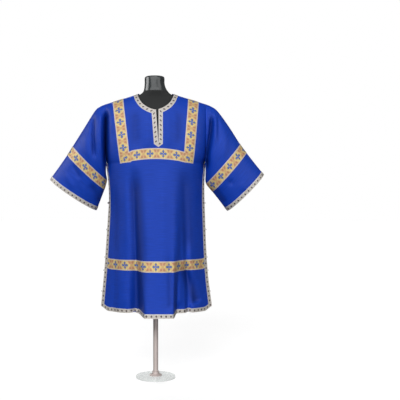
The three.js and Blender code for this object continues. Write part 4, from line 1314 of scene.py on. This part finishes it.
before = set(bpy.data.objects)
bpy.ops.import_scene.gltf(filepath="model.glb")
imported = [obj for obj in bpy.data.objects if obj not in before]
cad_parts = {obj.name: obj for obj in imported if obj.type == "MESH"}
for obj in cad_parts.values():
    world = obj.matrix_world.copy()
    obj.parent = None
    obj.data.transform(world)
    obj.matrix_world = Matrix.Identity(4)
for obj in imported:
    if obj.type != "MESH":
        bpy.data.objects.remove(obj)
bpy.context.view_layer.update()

MATERIALS = {
    "satin": satin_material(),
    "gold_galloon": thread_material("gold_galloon", 0.45, 0.15),
    "silver_galloon": thread_material("silver_galloon", 0.45, 0.15),
    "cross_applique": thread_material("cross_applique", 0.4, 0.3),
    "button_metal": new_material("button_metal", (170, 164, 156), 0.24, 1.0)[0],
    "loop_cord": new_material("loop_cord", (60, 56, 60), 0.8)[0],
    "jersey": new_material("jersey", (52, 53, 53), 0.9, specular=0.2)[0],
    "lacquer": new_material("lacquer", (50, 55, 57), 0.2, specular=0.8)[0],
    # chrome: a light, mostly diffuse colour in place of mirror metal, a painted reflection of the pale studio
    # that reflections here don't see
    "chrome": new_material("chrome", (214, 200, 196), 0.42, 0.3)[0],
    "base_glass": glass_material(),
}

SURFACES = {facing: panel_surface(facing) for facing in (FRONT, BACK)}
SLEEVE_SURFACES = {sign: sleeve_surface(sign) for sign in (-1, 1)}


def add_garment():
    for facing, surface in SURFACES.items():
        word = FACE_WORDS[facing]
        flip = facing == FRONT
        panel = add_panel(facing, surface)
        dress(panel, f"{word}_panel", "satin", MATERIALS)
        yoke = framed_strips(
            f"yoke_galloon_{word}", surface, GOLD_CHART, YOKE_INSIDE, YOKE_OUTSIDE,
            0.0, YOKE_TOP, YOKE_LOW, YOKE_FIRST_CROSS, YOKE_CROSSBAR_CROSS, flip,
        )
        dress(yoke, f"yoke_{word}", "gold_galloon", MATERIALS)
        edge = framed_strips(
            f"edge_galloon_{word}", surface, SILVER_CHART, TRIM_INSIDE, EDGE,
            UNDERARM, HEM_TRIM_TOP, 1.0, 5, 0, flip,
        )
        dress(edge, f"edge_trim_{word}", "silver_galloon", MATERIALS)
        hem = add_hem_band(facing, surface)
        dress(hem, f"hem_band_{word}", "gold_galloon", MATERIALS)
        neck = add_neck_trim(facing, surface)
        dress(neck, f"neck_trim_{word}", "silver_galloon", MATERIALS)
        if facing == BACK:
            cross = add_cross(surface)
            dress(cross, "back_cross", "cross_applique", MATERIALS)
    for sign, surface in SLEEVE_SURFACES.items():
        word = SIDE_WORDS[sign]
        sleeve = add_sleeve(sign, surface)
        dress(sleeve, f"sleeve_{word}", "satin", MATERIALS)
        band = add_sleeve_galloon(f"sleeve_galloon_{word}", sign, surface, SLEEVE_BAND, GOLD_CHART, 10)
        dress(band, f"sleeve_band_{word}", "gold_galloon", MATERIALS)
        cuff = add_sleeve_galloon(f"cuff_galloon_{word}", sign, surface, CUFF_TRIM, SILVER_CHART, 4)
        dress(cuff, f"cuff_trim_{word}", "silver_galloon", MATERIALS)


def finish_nodes():
    """Smooths the ball buttons and the cord loops, and gives them their materials."""
    for name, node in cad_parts.items():
        slot = {"button": "button_metal", "loop": "loop_cord"}.get(name.split("_")[0])
        if slot is None:
            continue
        node.data.materials.clear()
        node.data.materials.append(MATERIALS[slot])
        weld = node.modifiers.new("weld", "WELD")
        weld.merge_threshold = 0.00002
        rounded = node.modifiers.new("rounded", "SUBSURF")
        rounded.levels = 1
        rounded.render_levels = 1


def add_hem_band(facing, surface):
    fine = np.linspace(-TRIM_INSIDE, TRIM_INSIDE, ROUND_SAMPLES)
    row = (HEM_BAND_TOP + HEM_BAND_LOW) / 2
    columns = between(fine, evenly(surface.place(np.full(ROUND_SAMPLES, row), fine), GOLD_CELL))
    width = 2 * len(GOLD_CHART)
    rows = np.linspace(HEM_BAND_LOW, HEM_BAND_TOP, width + 1)
    grid_rows, grid_columns = np.meshgrid(rows, columns)
    cells = len(columns) - 1
    i, j = np.meshgrid(np.arange(cells), np.arange(width), indexing="ij")
    colours = woven(GOLD_CHART, i - cells // 2, j).reshape(-1, 3)
    name = f"hem_galloon_{FACE_WORDS[facing]}"
    return add_strip(name, surface, grid_rows, grid_columns, colours, facing == FRONT, GOLD_CHART)


add_garment()
finish_nodes()
add_form(MATERIALS)

# ---- camera, light and floor ----------------------------------------------------------------------

CAMERA_DISTANCE = 4.3
CAMERA_HEIGHT = 1.0
CAMERA_LENS = 71.0
CAMERA_SHIFT = (0.11075, -0.015)
CARD_DISTANCE = 2.6
KEY_PLACE = (-0.8, -4.0, 3.4)
LIT_PLACE = (0, 0, 1.1)  # what the lamps are turned to


def add_camera():
    data = bpy.data.cameras.new("camera")
    data.lens = CAMERA_LENS
    data.sensor_width = 36.0
    data.shift_x, data.shift_y = CAMERA_SHIFT
    camera = bpy.data.objects.new("camera", data)
    camera.location = (0, -CAMERA_DISTANCE, CAMERA_HEIGHT)
    camera.rotation_euler = (math.pi / 2, 0, 0)
    bpy.context.scene.collection.objects.link(camera)
    bpy.context.scene.camera = camera


def add_sun(name, energy, place, spread):
    """A far lamp that shines from a place on the garment, with a spread in degrees."""
    data = bpy.data.lights.new(name, "SUN")
    data.energy = energy
    data.angle = math.radians(spread)
    light = bpy.data.objects.new(name, data)
    light.location = place
    light.rotation_euler = (Vector(LIT_PLACE) - Vector(place)).to_track_quat("-Z", "Y").to_euler()
    bpy.context.scene.collection.objects.link(light)
    return light


def add_lights():
    """The key's diffuse light is narrow and its sheen is broad, so that small bumps don't glint."""
    key = add_sun("key", 2.3, KEY_PLACE, 22)
    key.visible_glossy = False
    sheen = add_sun("key_sheen", 2.2, KEY_PLACE, 80)
    sheen.visible_diffuse = False
    add_sun("side_fill", 0.35, (3.4, -3.4, 1.9), 40)
    back = add_sun("back_key", 2.2, (-0.8, 4.0, 3.4), 22)
    back.visible_glossy = False
    add_card("left_card", -90, 1.8, (1.55, 2.6), 4.4)
    add_card("right_card", 51, 1.5, (1.6, 2.5), 1.6)


def add_card(name, bearing, width, heights, strength):
    """A glowing card that only reflections see, at a bearing in degrees from the front, plus to the left side
    of the wearer."""
    turn = math.radians(bearing)
    ahead = np.array([math.sin(turn), -math.cos(turn)])
    beside = np.array([math.cos(turn), math.sin(turn)])
    low, high = (h / MM for h in heights)
    corners = []
    for side, height in ((-1, low), (1, low), (1, high), (-1, high)):
        x, y = (ahead * CARD_DISTANCE + beside * side * width / 2) / MM
        corners.append((x, y, height))
    card = add_mesh(name, corners, [(0, 1, 2, 3)])
    material = bpy.data.materials.new(name)
    material.use_nodes = True
    nodes = material.node_tree.nodes
    nodes.clear()
    glow = nodes.new("ShaderNodeEmission")
    glow.inputs["Strength"].default_value = strength
    output = nodes.new("ShaderNodeOutputMaterial")
    material.node_tree.links.new(glow.outputs[0], output.inputs["Surface"])
    paint(card, material)
    card.visible_camera = False
    card.visible_diffuse = False
    card.visible_shadow = False
    card.visible_transmission = False


def add_world():
    world = bpy.data.worlds.new("world")
    world.use_nodes = True
    world.node_tree.nodes["Background"].inputs["Color"].default_value = (1, 1, 1, 1)
    world.node_tree.nodes["Background"].inputs["Strength"].default_value = 0.15
    bpy.context.scene.world = world


def add_floor():
    side = 30000.0
    corners = [(-side, -side, 0), (side, -side, 0), (side, side, 0), (-side, side, 0)]
    floor = add_mesh("floor", corners, [(0, 1, 2, 3)])
    material, _, shader = new_material("floor", (130, 130, 130), 0.9, specular=0.0)
    shader.inputs["Emission Color"].default_value = (1, 1, 1, 1)
    shader.inputs["Emission Strength"].default_value = 0.84
    paint(floor, material)
    floor.visible_diffuse = False
    floor.visible_glossy = False


def add_backdrop():
    """A pale dome round the studio that only the camera sees."""
    bpy.ops.mesh.primitive_uv_sphere_add(segments=48, ring_count=24, radius=26)
    dome = bpy.context.object
    dome.name = "backdrop"
    material = bpy.data.materials.new("backdrop")
    material.use_nodes = True
    nodes = material.node_tree.nodes
    nodes.clear()
    glow = nodes.new("ShaderNodeEmission")
    glow.inputs["Color"].default_value = (1, 1, 1, 1)
    glow.inputs["Strength"].default_value = 1.0
    output = nodes.new("ShaderNodeOutputMaterial")
    material.node_tree.links.new(glow.outputs[0], output.inputs["Surface"])
    paint(dome, material)
    dome.visible_diffuse = False
    dome.visible_glossy = False
    dome.visible_transmission = False
    dome.visible_shadow = False


add_camera()
add_world()
add_lights()
add_floor()
add_backdrop()
bpy.context.scene.view_settings.view_transform = "Standard"
